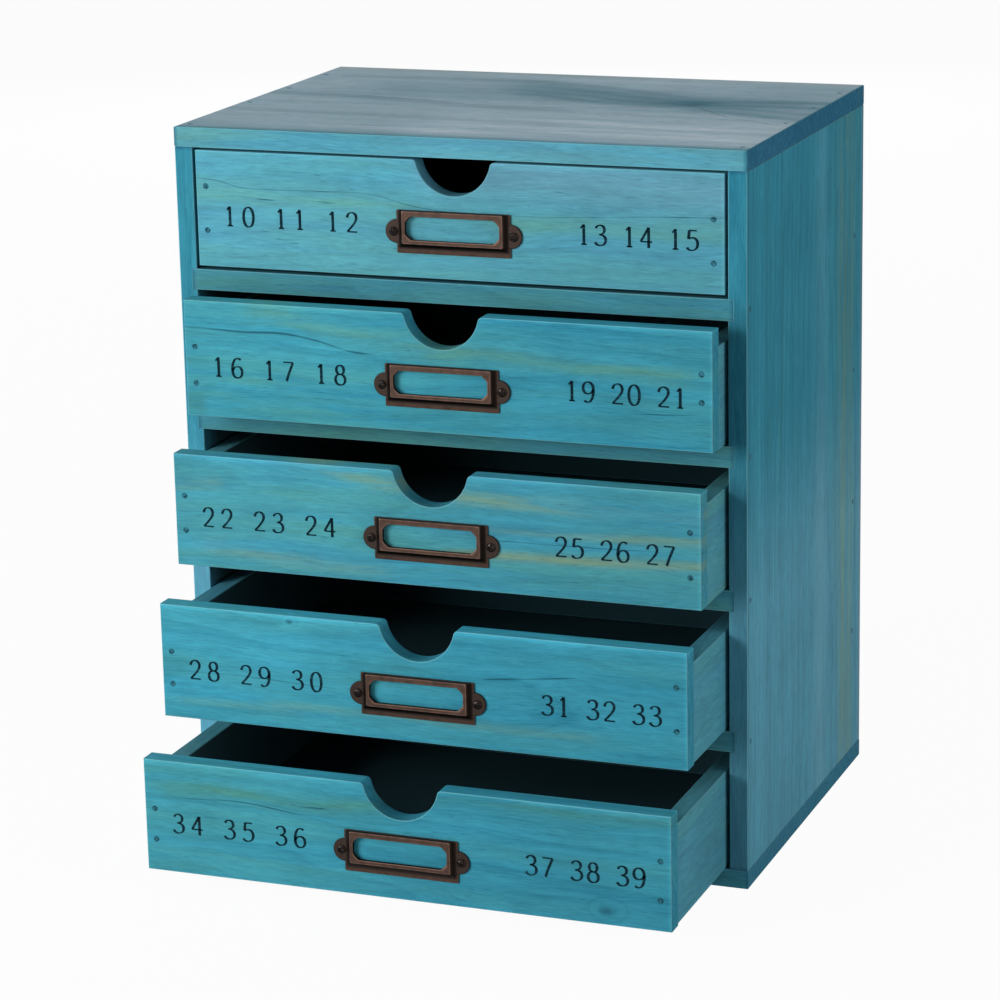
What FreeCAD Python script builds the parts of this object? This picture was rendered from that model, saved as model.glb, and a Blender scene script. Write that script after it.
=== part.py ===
"""Five-drawer wooden cabinet for buttons and other small haberdashery.

A nailed pine carcass holds four housed shelves and a rebated back panel. Five open-topped
drawers run straight on the shelves and on the cabinet's floor. Each drawer front has a
half-round finger notch and a pressed metal label holder with two screws.

Frame: X to the right, Y to the back, Z up. The origin is under the centre of the cabinet, and
its front face lies at minus half the depth. The drawers stand pulled out in steps.
"""

import FreeCAD, Part
import math
import os

import Sketcher

# Driving dimensions in millimetres, one spreadsheet cell each.
SIZES = {
    # Cabinet
    "cabinet_width": 250.0,
    "cabinet_depth": 177.0,
    "top_thickness": 8.5,
    "bottom_thickness": 8.0,
    "side_thickness": 8.0,
    "shelf_thickness": 9.0,
    "bay_height": 51.7,
    "housing_depth": 2.0,
    "back_thickness": 3.0,
    "rebate_width": 4.5,
    "back_play": 0.4,
    # Drawer box
    "drawer_side_gap": 1.3,
    "drawer_lift": 0.3,
    "drawer_rear_gap": 3.0,
    "front_thickness": 8.6,
    "wall_thickness": 8.0,
    "wall_top_gap": 8.9,
    "wall_inset": 0.5,
    "floor_thickness": 3.0,
    "floor_height": 4.0,
    "groove_depth": 3.0,
    "groove_play": 0.2,
    "floor_play": 0.5,
    # Finger notch in the drawer front
    "notch_radius": 16.5,
    "notch_depth": 14.5,
    "notch_rounding": 2.0,
    # Nails
    "nail_diameter": 1.2,
    "nail_head_diameter": 2.2,
    "nail_head_height": 0.5,
    "nail_sink": 0.2,
    "nail_play": 0.1,
    "nail_length": 20.0,
    "panel_nail_length": 12.0,
    "end_nail_inset": 8.0,
    "shelf_nail_inset": 4.0,
    "rear_nail_inset": 14.0,
    "carcass_rear_nail_inset": 25.5,
    "carcass_nail_pitch": 41.5,
    "floor_nail_inset": 40.0,
    # Label holder
    "holder_width": 50.0,
    "holder_height": 18.0,
    "holder_depth": 2.5,
    "sheet_thickness": 0.8,
    "holder_centre_height": 19.3,
    "ear_radius": 5.0,
    "face_side_inset": 2.9,
    "face_top_inset": 0.6,
    "face_bottom_inset": 3.4,
    "rim_side_width": 1.5,
    "rim_top_width": 2.4,
    "rim_bottom_width": 1.9,
    "window_bevel": 2.7,
    # Label screws
    "screw_offset": 1.4,
    "screw_head_diameter": 3.8,
    "screw_head_height": 1.1,
    "screw_diameter": 1.8,
    "screw_length": 6.5,
    "screw_play": 0.1,
}

# What differs from drawer to drawer, in millimetres, from the top one down. The drawers are cut
# and nailed by hand, so each front sits at its own height on its box.
DRAWER_SIZES = {
    # How far the drawer stands pulled out
    "opening": (0.0, 17.0, 33.0, 52.0, 74.0),
    # The front's lower edge above the lower edges of the drawer's sides
    "front_rise": (1.2, 1.0, 0.6, 0.0, 0.0),
    # The gap between the front's upper edge and the board over it
    "top_gap": (1.0, 0.7, 2.4, 2.0, 2.4),
    # The upper front nail below the upper edge of the drawer's side, and the lower nail below it
    "left_nail_drop": (7.3, 11.7, 11.6, 13.6, 15.2),
    "left_nail_pitch": (18.7, 15.6, 15.1, 14.3, 13.6),
    "right_nail_drop": (10.8, 9.5, 9.9, 8.0, 12.8),
    "right_nail_pitch": (17.8, 11.6, 18.7, 18.5, 16.6),
}

DRAWER_COUNT = len(DRAWER_SIZES["opening"])
SHELF_COUNT = DRAWER_COUNT - 1
# The least volume, in cubic millimetres, that a cut has to remove.
SMALLEST_CUT = 0.01


class Size:
    """A length with its present value and the spreadsheet expression that gives it."""

    def __init__(self, value, text):
        self.value = value
        self.text = text

    def __add__(self, other):
        other = as_size(other)
        return Size(self.value + other.value, f"({self.text} + {other.text})")

    def __sub__(self, other):
        other = as_size(other)
        return Size(self.value - other.value, f"({self.text} - {other.text})")

    def __mul__(self, factor):
        return Size(self.value * factor, f"({self.text} * {factor})")

    def __truediv__(self, factor):
        return Size(self.value / factor, f"({self.text} / {factor})")

    def __neg__(self):
        return Size(-self.value, f"(0 - {self.text})")

    def __rsub__(self, other):
        return as_size(other) - self

    __radd__ = __add__
    __rmul__ = __mul__


def as_size(length):
    """Return a plain number as a Size, and a Size as it is."""
    return length if isinstance(length, Size) else Size(float(length), repr(float(length)))


def make_sheet():
    """Write the driving dimensions to a spreadsheet and return each as a Size."""
    cells = dict(SIZES)
    for name, values in DRAWER_SIZES.items():
        cells.update({f"{name}_{number}": value for number, value in enumerate(values, start=1)})
    sheet = doc.addObject("Spreadsheet::Sheet", "Sizes")
    for row, (alias, value) in enumerate(cells.items(), start=1):
        sheet.set(f"A{row}", alias)
        sheet.set(f"B{row}", str(value))
        sheet.setAlias(f"B{row}", alias)
    doc.recompute()
    return {alias: Size(value, f"Sizes.{alias}") for alias, value in cells.items()}


doc = FreeCAD.newDocument("ButtonDrawers")
size = make_sheet()

# ---------------------------------------------------------------------------------------------
# Sizes that follow from the driving ones
# ---------------------------------------------------------------------------------------------

inner_width = size["cabinet_width"] - 2 * size["side_thickness"]
shelf_pitch = size["bay_height"] + size["shelf_thickness"]
side_height = DRAWER_COUNT * size["bay_height"] + SHELF_COUNT * size["shelf_thickness"]
cabinet_height = size["bottom_thickness"] + side_height + size["top_thickness"]
shelf_depth = size["cabinet_depth"] - size["back_thickness"]
cabinet_left = -size["cabinet_width"] / 2
cabinet_front = -size["cabinet_depth"] / 2
rebate_inset = size["side_thickness"] - size["rebate_width"]

front_width = inner_width - 2 * size["drawer_side_gap"]
wall_height = size["bay_height"] - size["drawer_lift"] - size["wall_top_gap"]
drawer_length = shelf_depth - size["drawer_rear_gap"]
wall_length = drawer_length - size["front_thickness"]
box_width = front_width - 2 * size["wall_inset"]
back_width = box_width - 2 * size["wall_thickness"]
floor_top = size["floor_height"] + size["floor_thickness"]
groove_height = size["floor_thickness"] + size["groove_play"]
wall_back_height = wall_height - floor_top

nail_hole = size["nail_diameter"] + 2 * size["nail_play"]
head_hole = size["nail_head_diameter"] + 2 * size["nail_play"]
head_hole_depth = size["nail_sink"] + size["nail_head_height"]
wall_nail_x = size["wall_inset"] + size["wall_thickness"] / 2
side_nail_x = size["side_thickness"] / 2
last_carcass_row = size["cabinet_depth"] - size["carcass_rear_nail_inset"]
carcass_nail_rows = (
    size["end_nail_inset"],
    last_carcass_row - 2 * size["carcass_nail_pitch"],
    last_carcass_row - size["carcass_nail_pitch"],
    last_carcass_row,
)
shelf_nail_rows = (size["shelf_nail_inset"], size["cabinet_depth"] - size["rear_nail_inset"])
panel_nail_columns = (size["cabinet_width"] / 4, size["cabinet_width"] * 3 / 4)
panel_nail_rows = tuple(
    size["bottom_thickness"] + size["bay_height"] / 2 + bay * shelf_pitch
    for bay in (0, DRAWER_COUNT // 2, DRAWER_COUNT - 1)
)
panel_hole_depth = (
    size["panel_nail_length"] + head_hole_depth + size["nail_play"] - size["back_thickness"]
)

holder_left = (front_width - size["holder_width"]) / 2
holder_bottom = size["holder_centre_height"] - size["holder_height"] / 2
face_width = size["holder_width"] - 2 * size["face_side_inset"]
face_height = size["holder_height"] - size["face_top_inset"] - size["face_bottom_inset"]
window_width = face_width - 2 * size["rim_side_width"]
window_height = face_height - size["rim_top_width"] - size["rim_bottom_width"]
face_left = size["face_side_inset"]
face_bottom = size["face_bottom_inset"]
window_left = face_left + size["rim_side_width"]
window_bottom = face_bottom + size["rim_bottom_width"]
holder_middle = size["holder_height"] / 2
screw_xs = (-size["screw_offset"], size["holder_width"] + size["screw_offset"])
screw_hole = size["screw_diameter"] + 2 * size["screw_play"]


# ---------------------------------------------------------------------------------------------
# Building blocks
# ---------------------------------------------------------------------------------------------

# The axis that each origin plane faces and the sign of a sketch's normal along it.
PLANE_NORMALS = {"XY_Plane": 1, "XZ_Plane": -1, "YZ_Plane": 1}

nodes = []


def bind(target, name, length):
    """Set a property to a Size and keep it bound to the sheet."""
    length = as_size(length)
    if "." not in name:
        setattr(target, name, length.value)
    target.setExpression(name, length.text)


def place(piece, x, y, z):
    """Bind the position of a piece."""
    for axis, length in zip("xyz", (x, y, z)):
        bind(piece, f"Placement.Base.{axis}", length)


def new_body(label):
    """Start a sub-part and list it as a node."""
    body = doc.addObject("PartDesign::Body", label)
    body.Label = label
    nodes.append(body)
    return body


def new_sketch(body, plane, level):
    """Attach a sketch to an origin plane of its body, moved along the plane's axis by level."""
    role = next(item for item in body.Origin.OriginFeatures if item.Role == plane)
    sketch = body.newObject("Sketcher::SketchObject", f"{body.Label}_sketch")
    sketch.AttachmentSupport = [(role, "")]
    sketch.MapMode = "FlatFace"
    bind(sketch, "AttachmentOffset.Base.z", PLANE_NORMALS[plane] * as_size(level))
    return sketch


def hold(sketch, kind, *geometry, length):
    """Add a dimension whose value is bound to the sheet."""
    length = as_size(length)
    index = sketch.addConstraint(Sketcher.Constraint(kind, *geometry, length.value))
    sketch.setExpression(f"Constraints[{index}]", length.text)


def draw_rectangle(sketch, left, bottom, width, height):
    """Draw a rectangle from its lower left corner."""
    left, bottom = as_size(left), as_size(bottom)
    x_low, x_high = left.value, (left + width).value
    y_low, y_high = bottom.value, (bottom + height).value
    corners = [(x_low, y_low), (x_high, y_low), (x_high, y_high), (x_low, y_high)]
    points = [FreeCAD.Vector(x, y, 0) for x, y in corners]
    first = sketch.GeometryCount
    for start, end in zip(points, points[1:] + points[:1]):
        sketch.addGeometry(Part.LineSegment(start, end), False)
    for side in range(4):
        after = first + (side + 1) % 4
        sketch.addConstraint(Sketcher.Constraint("Coincident", first + side, 2, after, 1))
    for side in (0, 2):
        sketch.addConstraint(Sketcher.Constraint("Horizontal", first + side))
        sketch.addConstraint(Sketcher.Constraint("Vertical", first + side + 1))
    hold(sketch, "DistanceX", -1, 1, first, 1, length=left)
    hold(sketch, "DistanceY", -1, 1, first, 1, length=bottom)
    hold(sketch, "DistanceX", first, 1, first, 2, length=width)
    hold(sketch, "DistanceY", first + 1, 1, first + 1, 2, length=height)


def draw_circles(sketch, centres, diameter):
    """Draw circles of one diameter."""
    for x, y in centres:
        x, y = as_size(x), as_size(y)
        centre = FreeCAD.Vector(x.value, y.value, 0)
        circle = Part.Circle(centre, FreeCAD.Vector(0, 0, 1), diameter.value / 2)
        index = sketch.addGeometry(circle, False)
        hold(sketch, "Diameter", index, length=diameter)
        hold(sketch, "DistanceX", -1, 1, index, 3, length=x)
        hold(sketch, "DistanceY", -1, 1, index, 3, length=y)


def pad(body, sketch, length, reverse=False):
    """Add material along the sketch's normal, or against it."""
    feature = body.newObject("PartDesign::Pad", f"{body.Label}_pad")
    feature.Profile = sketch
    bind(feature, "Length", length)
    feature.Reversed = reverse
    sketch.Visibility = False
    return feature


def pocket(body, sketch, length, reverse=False):
    """Cut against the sketch's normal, or along it, and make sure that the cut removes wood."""
    doc.recompute()
    volume_before = body.Shape.Volume
    feature = body.newObject("PartDesign::Pocket", f"{body.Label}_pocket")
    feature.Profile = sketch
    bind(feature, "Length", length)
    feature.Reversed = reverse
    doc.recompute()
    if body.Shape.Volume > volume_before - SMALLEST_CUT:
        raise RuntimeError(f"{feature.Label} removes nothing")
    return feature


def round_edges(body, edge_names, radius):
    """Round named edges of the body's last feature."""
    base = body.Tip
    fillet = body.newObject("PartDesign::Fillet", f"{body.Label}_fillet")
    fillet.Base = (base, edge_names)
    bind(fillet, "Radius", radius)


def bevel_edges(body, edge_names, width):
    """Bevel named edges of the body's last feature at 45 degrees."""
    base = body.Tip
    chamfer = body.newObject("PartDesign::Chamfer", f"{body.Label}_chamfer")
    chamfer.Base = (base, edge_names)
    bind(chamfer, "Size", width)


def board(label, width, depth, height):
    """Make a plain board with its lower left front corner at its own origin."""
    body = new_body(label)
    sketch = new_sketch(body, "XY_Plane", 0)
    draw_rectangle(sketch, 0, 0, width, depth)
    pad(body, sketch, height)
    return body


def cut_box(body, corner, extent):
    """Cut a groove, housing or rebate from its lower left front corner."""
    sketch = new_sketch(body, "XY_Plane", corner[2])
    draw_rectangle(sketch, corner[0], corner[1], extent[0], extent[1])
    pocket(body, sketch, extent[2], reverse=True)


def cut_holes(body, plane, level, centres, diameter, depth, reverse=False):
    """Drill a set of equal holes."""
    sketch = new_sketch(body, plane, level)
    draw_circles(sketch, centres, diameter)
    pocket(body, sketch, depth, reverse)


def cut_nail_holes(body, plane, level, centres, through, reverse=False):
    """Drill through a board for nails whose heads sit just below the surface."""
    cut_holes(body, plane, level, centres, nail_hole, through, reverse)
    cut_holes(body, plane, level, centres, head_hole, head_hole_depth, reverse)


def nail_reach(through):
    """Return how deep a hole for a long nail goes behind a board of the given thickness."""
    return size["nail_length"] + head_hole_depth + size["nail_play"] - through


# Turns a nail, which points along +Z at its own origin, into each direction.
TURNS = {
    "+x": FreeCAD.Rotation(FreeCAD.Vector(0, 1, 0), 90),
    "-x": FreeCAD.Rotation(FreeCAD.Vector(0, 1, 0), -90),
    "+y": FreeCAD.Rotation(FreeCAD.Vector(1, 0, 0), -90),
    "-y": FreeCAD.Rotation(FreeCAD.Vector(1, 0, 0), 90),
    "+z": FreeCAD.Rotation(),
    "-z": FreeCAD.Rotation(FreeCAD.Vector(1, 0, 0), 180),
}


def make_fastener(label, spot, direction, head, shank):
    """Make one nail or screw: a head and a shank, each given as diameter and length.

    The spot is the outer face of the head, and the direction is where the tip points.
    """
    parts = []
    for role, (diameter, length), start in (("head", head, 0), ("shank", shank, head[1])):
        cylinder = doc.addObject("Part::Cylinder", f"{label}_{role}")
        bind(cylinder, "Radius", diameter / 2)
        bind(cylinder, "Height", length)
        bind(cylinder, "Placement.Base.z", start)
        parts.append(cylinder)
    fastener = doc.addObject("Part::Fuse", label)
    fastener.Base, fastener.Tool = parts
    fastener.Placement.Rotation = TURNS[direction]
    place(fastener, *spot)
    return fastener


def make_nail(label, surface, direction, length):
    """Make one nail with its head sunk below the surface point that it is driven into."""
    sign = -1 if direction[0] == "-" else 1
    axis = "xyz".index(direction[1])
    spot = list(surface)
    spot[axis] = spot[axis] + sign * size["nail_sink"]
    head = (size["nail_head_diameter"], size["nail_head_height"])
    return make_fastener(label, spot, direction, head, (size["nail_diameter"], length))


def group(label, fasteners):
    """Gather fasteners into one sub-part."""
    compound = doc.addObject("Part::Compound", label)
    compound.Label = label
    compound.Links = fasteners
    nodes.append(compound)
    return compound


# ---------------------------------------------------------------------------------------------
# Cabinet
# ---------------------------------------------------------------------------------------------


def shelf_level(index):
    """Return the height of a shelf's underside, counted from the lowest shelf at 0."""
    return size["bottom_thickness"] + size["bay_height"] + index * shelf_pitch


def make_end_panel(label, thickness, rebate_level, nail_level, nails_down):
    """Make the top or the bottom panel, which covers the ends of both sides."""
    body = board(label, size["cabinet_width"], size["cabinet_depth"], thickness)
    cut_box(
        body,
        (rebate_inset, shelf_depth, rebate_level),
        (size["cabinet_width"] - 2 * rebate_inset, size["back_thickness"], size["rebate_width"]),
    )
    columns = (side_nail_x, size["cabinet_width"] - side_nail_x)
    centres = [(x, y) for x in columns for y in carcass_nail_rows]
    cut_nail_holes(body, "XY_Plane", nail_level, centres, thickness, reverse=not nails_down)
    rear_nails = [(x, rebate_level + size["rebate_width"] / 2) for x in panel_nail_columns]
    return body, rear_nails


def make_top_panel():
    """Make the top panel, nailed down into the sides."""
    thickness = size["top_thickness"]
    body, rear_nails = make_end_panel("top_panel", thickness, 0, thickness, nails_down=True)
    cut_holes(body, "XZ_Plane", shelf_depth, rear_nails, nail_hole,
              panel_hole_depth, reverse=True)
    place(body, cabinet_left, cabinet_front, cabinet_height - thickness)


def make_bottom_panel():
    """Make the bottom panel, nailed up into the sides."""
    thickness = size["bottom_thickness"]
    rebate_level = thickness - size["rebate_width"]
    body, rear_nails = make_end_panel("bottom_panel", thickness, rebate_level, 0, nails_down=False)
    cut_holes(body, "XZ_Plane", shelf_depth, rear_nails, nail_hole,
              panel_hole_depth, reverse=True)
    place(body, cabinet_left, cabinet_front, 0)


def make_side(label, left):
    """Make the left or the right side with its shelf housings, rebate and nail holes."""
    thickness = size["side_thickness"]
    body = board(label, thickness, size["cabinet_depth"], side_height)
    inner_x = thickness - size["housing_depth"] if left else as_size(0)
    rebate_x = rebate_inset if left else as_size(0)
    outer_x = as_size(0) if left else thickness
    shelf_heights = []
    for index in range(SHELF_COUNT):
        level = shelf_level(index) - size["bottom_thickness"]
        cut_box(
            body,
            (inner_x, 0, level),
            (size["housing_depth"], shelf_depth, size["shelf_thickness"]),
        )
        shelf_heights.append(level + size["shelf_thickness"] / 2)
    cut_box(
        body,
        (rebate_x, shelf_depth, 0),
        (size["rebate_width"], size["back_thickness"], side_height),
    )
    shelf_nails = [(y, z) for y in shelf_nail_rows for z in shelf_heights]
    cut_nail_holes(body, "YZ_Plane", outer_x, shelf_nails, thickness, reverse=left)
    end_nails = [(side_nail_x, y) for y in carcass_nail_rows]
    cut_holes(body, "XY_Plane", 0, end_nails, nail_hole,
              nail_reach(size["bottom_thickness"]), reverse=True)
    cut_holes(body, "XY_Plane", side_height, end_nails, nail_hole,
              nail_reach(size["top_thickness"]))
    panel_x = rebate_x + size["rebate_width"] / 2
    rear_nails = [(panel_x, row - size["bottom_thickness"]) for row in panel_nail_rows]
    cut_holes(body, "XZ_Plane", shelf_depth, rear_nails, nail_hole,
              panel_hole_depth, reverse=True)
    x = cabinet_left if left else -cabinet_left - thickness
    place(body, x, cabinet_front, size["bottom_thickness"])


def make_shelf(index):
    """Make one shelf, housed in both sides, with nail holes in its ends."""
    width = inner_width + 2 * size["housing_depth"]
    body = board(f"shelf_{index + 1}", width, shelf_depth, size["shelf_thickness"])
    centres = [(y, size["shelf_thickness"] / 2) for y in shelf_nail_rows]
    depth = nail_reach(size["side_thickness"] - size["housing_depth"])
    cut_holes(body, "YZ_Plane", 0, centres, nail_hole, depth, reverse=True)
    cut_holes(body, "YZ_Plane", width, centres, nail_hole, depth)
    place(body, -width / 2, cabinet_front, shelf_level(index))


def make_back_panel():
    """Make the thin back panel, which lies in the rebates with a little play."""
    inset = rebate_inset + size["back_play"]
    floor = size["bottom_thickness"] - size["rebate_width"] + size["back_play"]
    ceiling = size["top_thickness"] - size["rebate_width"] + size["back_play"]
    width = size["cabinet_width"] - 2 * inset
    body = board("back_panel", width, size["back_thickness"], cabinet_height - floor - ceiling)
    edge = rebate_inset + size["rebate_width"] / 2 - inset
    centres = [(x, row - floor) for x in (edge, width - edge) for row in panel_nail_rows]
    low = size["bottom_thickness"] - size["rebate_width"] / 2 - floor
    high = cabinet_height - size["top_thickness"] + size["rebate_width"] / 2 - floor
    centres += [(column - inset, row) for column in panel_nail_columns for row in (low, high)]
    cut_nail_holes(body, "XZ_Plane", size["back_thickness"], centres,
                   size["back_thickness"], reverse=True)
    place(body, cabinet_left + inset, cabinet_front + shelf_depth, floor)


def make_cabinet_nails():
    """Make the nails of the carcass, grouped by the panel that they hold."""
    long_nail = size["nail_length"]
    right = size["cabinet_width"] - side_nail_x
    for label, z, direction in (
        ("top_nails", cabinet_height, "-z"),
        ("bottom_nails", as_size(0), "+z"),
    ):
        nails = [
            make_nail(f"{label}_nail", (x, y, z), direction, long_nail)
            for x in (side_nail_x, right)
            for y in carcass_nail_rows
        ]
        place(group(label, nails), cabinet_left, cabinet_front, 0)

    heights = [shelf_level(index) + size["shelf_thickness"] / 2 for index in range(SHELF_COUNT)]
    for label, x, direction in (
        ("left_shelf_nails", as_size(0), "+x"),
        ("right_shelf_nails", size["cabinet_width"], "-x"),
    ):
        nails = [
            make_nail(f"{label}_nail", (x, y, z), direction, long_nail)
            for y in shelf_nail_rows
            for z in heights
        ]
        place(group(label, nails), cabinet_left, cabinet_front, 0)

    edge = rebate_inset + size["rebate_width"] / 2
    low = size["bottom_thickness"] - size["rebate_width"] / 2
    high = cabinet_height - size["top_thickness"] + size["rebate_width"] / 2
    spots = [(x, row) for x in (edge, size["cabinet_width"] - edge) for row in panel_nail_rows]
    spots += [(x, z) for x in panel_nail_columns for z in (low, high)]
    nails = [
        make_nail("back_nails_nail", (x, size["cabinet_depth"], z), "-y",
                  size["panel_nail_length"])
        for x, z in spots
    ]
    place(group("back_nails", nails), cabinet_left, cabinet_front, 0)


# ---------------------------------------------------------------------------------------------
# Drawers
# ---------------------------------------------------------------------------------------------

rear_nail_y = drawer_length - size["wall_thickness"] / 2
rear_nail_heights = (
    floor_top + wall_back_height / 4,
    floor_top + wall_back_height * 3 / 4,
)
floor_hole_depth = (
    size["panel_nail_length"] + head_hole_depth + size["nail_play"] - size["floor_thickness"]
)
floor_nail_columns = (size["floor_nail_inset"], front_width - size["floor_nail_inset"])
floor_side = size["wall_inset"] + size["wall_thickness"] - size["groove_depth"]


def front_nail_heights(number, side):
    """Return the heights of a drawer's two front nails on one side, over the side's lower edge."""
    upper = wall_height - size[f"{side}_nail_drop_{number}"]
    return upper - size[f"{side}_nail_pitch_{number}"], upper


def front_nail_spots(number):
    """Return where a drawer's four front nails go in, as widths and heights."""
    columns = {"left": wall_nail_x, "right": front_width - wall_nail_x}
    return [(x, z) for side, x in columns.items() for z in front_nail_heights(number, side)]


def draw_notched_outline(sketch, height):
    """Draw the front's outline: a rectangle whose top edge dips into a round notch."""
    middle = front_width.value / 2
    top = height.value
    centre_height = (height + size["notch_radius"] - size["notch_depth"]).value
    radius = size["notch_radius"].value
    half_mouth = math.sqrt(radius**2 - (centre_height - top) ** 2)
    corners = [
        (middle + half_mouth, top),
        (front_width.value, top),
        (front_width.value, 0),
        (0, 0),
        (0, top),
        (middle - half_mouth, top),
    ]
    points = [FreeCAD.Vector(x, y, 0) for x, y in corners]
    for start, end in zip(points, points[1:]):
        sketch.addGeometry(Part.LineSegment(start, end), False)
    lowest = FreeCAD.Vector(middle, centre_height - radius, 0)
    notch = sketch.addGeometry(Part.Arc(points[-1], lowest, points[0]), False)
    for line in range(4):
        sketch.addConstraint(Sketcher.Constraint("Coincident", line, 2, line + 1, 1))
    sketch.addConstraint(Sketcher.Constraint("Coincident", 4, 2, notch, 1))
    sketch.addConstraint(Sketcher.Constraint("Coincident", notch, 2, 0, 1))
    for line in (0, 2, 4):
        sketch.addConstraint(Sketcher.Constraint("Horizontal", line))
    for line in (1, 3):
        sketch.addConstraint(Sketcher.Constraint("Vertical", line))
    sketch.addConstraint(Sketcher.Constraint("Coincident", 2, 2, -1, 1))
    sketch.addConstraint(Sketcher.Constraint("Equal", 0, 4))
    hold(sketch, "DistanceX", 2, 2, 2, 1, length=front_width)
    hold(sketch, "DistanceY", 3, 1, 3, 2, length=height)
    hold(sketch, "Radius", notch, length=size["notch_radius"])
    hold(sketch, "DistanceY", -1, 1, notch, 3,
         length=height + size["notch_radius"] - size["notch_depth"])


def round_notch_mouth(body, height):
    """Round the two edges where the notch meets the top of the front."""
    doc.recompute()
    mouth_edges = []
    for number, edge in enumerate(body.Shape.Edges, start=1):
        centre = edge.CenterOfMass
        across = abs(centre.x - front_width.value / 2)
        on_top = abs(centre.z - height.value) < SMALLEST_CUT
        through = abs(edge.Length - size["front_thickness"].value) < SMALLEST_CUT
        if on_top and through and across < size["notch_radius"].value + SMALLEST_CUT:
            mouth_edges.append(f"Edge{number}")
    round_edges(body, mouth_edges, size["notch_rounding"])


def make_front(drawer, number, origin):
    """Make a drawer front: notch, floor groove, nail holes and screw holes."""
    thickness = size["front_thickness"]
    rise = size[f"front_rise_{number}"]
    height = size["bay_height"] - size["drawer_lift"] - rise - size[f"top_gap_{number}"]
    body = new_body(f"{drawer}_front")
    sketch = new_sketch(body, "XZ_Plane", 0)
    draw_notched_outline(sketch, height)
    pad(body, sketch, thickness, reverse=True)
    round_notch_mouth(body, height)
    cut_box(
        body,
        (floor_side, thickness - size["groove_depth"], size["floor_height"] - rise),
        (front_width - 2 * floor_side, size["groove_depth"], groove_height),
    )
    nail_spots = [(x, z - rise) for x, z in front_nail_spots(number)]
    cut_nail_holes(body, "XZ_Plane", 0, nail_spots, thickness)
    centres = [(holder_left + x, holder_bottom + holder_middle) for x in screw_xs]
    depth = size["screw_length"] - size["sheet_thickness"] + size["screw_play"]
    cut_holes(body, "XZ_Plane", 0, centres, screw_hole, depth)
    place(body, *origin)


def make_wall(drawer, number, side, origin):
    """Make one side of a drawer, with its floor groove and nail holes."""
    left = side == "left"
    thickness = size["wall_thickness"]
    body = board(f"{drawer}_{side}_side", thickness, wall_length, wall_height)
    groove_x = thickness - size["groove_depth"] if left else as_size(0)
    cut_box(
        body,
        (groove_x, 0, size["floor_height"]),
        (size["groove_depth"], wall_length, groove_height),
    )
    front_nails = [(thickness / 2, z) for z in front_nail_heights(number, side)]
    cut_holes(body, "XZ_Plane", 0, front_nails, nail_hole,
              nail_reach(size["front_thickness"]))
    rear_nails = [(wall_length - thickness / 2, z) for z in rear_nail_heights]
    outer_x = as_size(0) if left else thickness
    cut_nail_holes(body, "YZ_Plane", outer_x, rear_nails, thickness, reverse=left)
    x = size["wall_inset"] if left else front_width - size["wall_inset"] - thickness
    place(body, origin[0] + x, origin[1] + size["front_thickness"], origin[2])


def make_drawer_back(drawer, origin):
    """Make the back of a drawer, which stands on the floor between the sides."""
    thickness = size["wall_thickness"]
    body = board(f"{drawer}_back", back_width, thickness, wall_back_height)
    centres = [(thickness / 2, z - floor_top) for z in rear_nail_heights]
    cut_holes(body, "YZ_Plane", 0, centres, nail_hole, nail_reach(thickness), reverse=True)
    cut_holes(body, "YZ_Plane", back_width, centres, nail_hole, nail_reach(thickness))
    left = size["wall_inset"] + thickness
    from_below = [(column - left, thickness / 2) for column in floor_nail_columns]
    cut_holes(body, "XY_Plane", 0, from_below, nail_hole, floor_hole_depth, reverse=True)
    place(body, origin[0] + left, origin[1] + drawer_length - thickness, origin[2] + floor_top)


def make_floor(drawer, origin):
    """Make the thin floor of a drawer, which slides into the grooves from the rear."""
    play = size["floor_play"]
    width = front_width - 2 * floor_side - 2 * play
    front_y = size["front_thickness"] - size["groove_depth"] + play
    body = board(f"{drawer}_floor", width, drawer_length - front_y, size["floor_thickness"])
    left = floor_side + play
    centres = [(column - left, rear_nail_y - front_y) for column in floor_nail_columns]
    cut_nail_holes(body, "XY_Plane", 0, centres, size["floor_thickness"], reverse=True)
    place(body, origin[0] + left, origin[1] + front_y, origin[2] + size["floor_height"])


def make_drawer_nails(drawer, number, origin):
    """Make the nails of a drawer: front, rear corners and floor."""
    label = f"{drawer}_nails"
    long_nail = size["nail_length"]
    nails = [
        make_nail(f"{label}_front", (x, as_size(0), z), "+y", long_nail)
        for x, z in front_nail_spots(number)
    ]
    for x, direction in (
        (size["wall_inset"], "+x"),
        (front_width - size["wall_inset"], "-x"),
    ):
        nails += [
            make_nail(f"{label}_rear", (x, rear_nail_y, z), direction, long_nail)
            for z in rear_nail_heights
        ]
    nails += [
        make_nail(f"{label}_floor", (x, rear_nail_y, size["floor_height"]), "+z",
                  size["panel_nail_length"])
        for x in floor_nail_columns
    ]
    place(group(label, nails), *origin)


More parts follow.
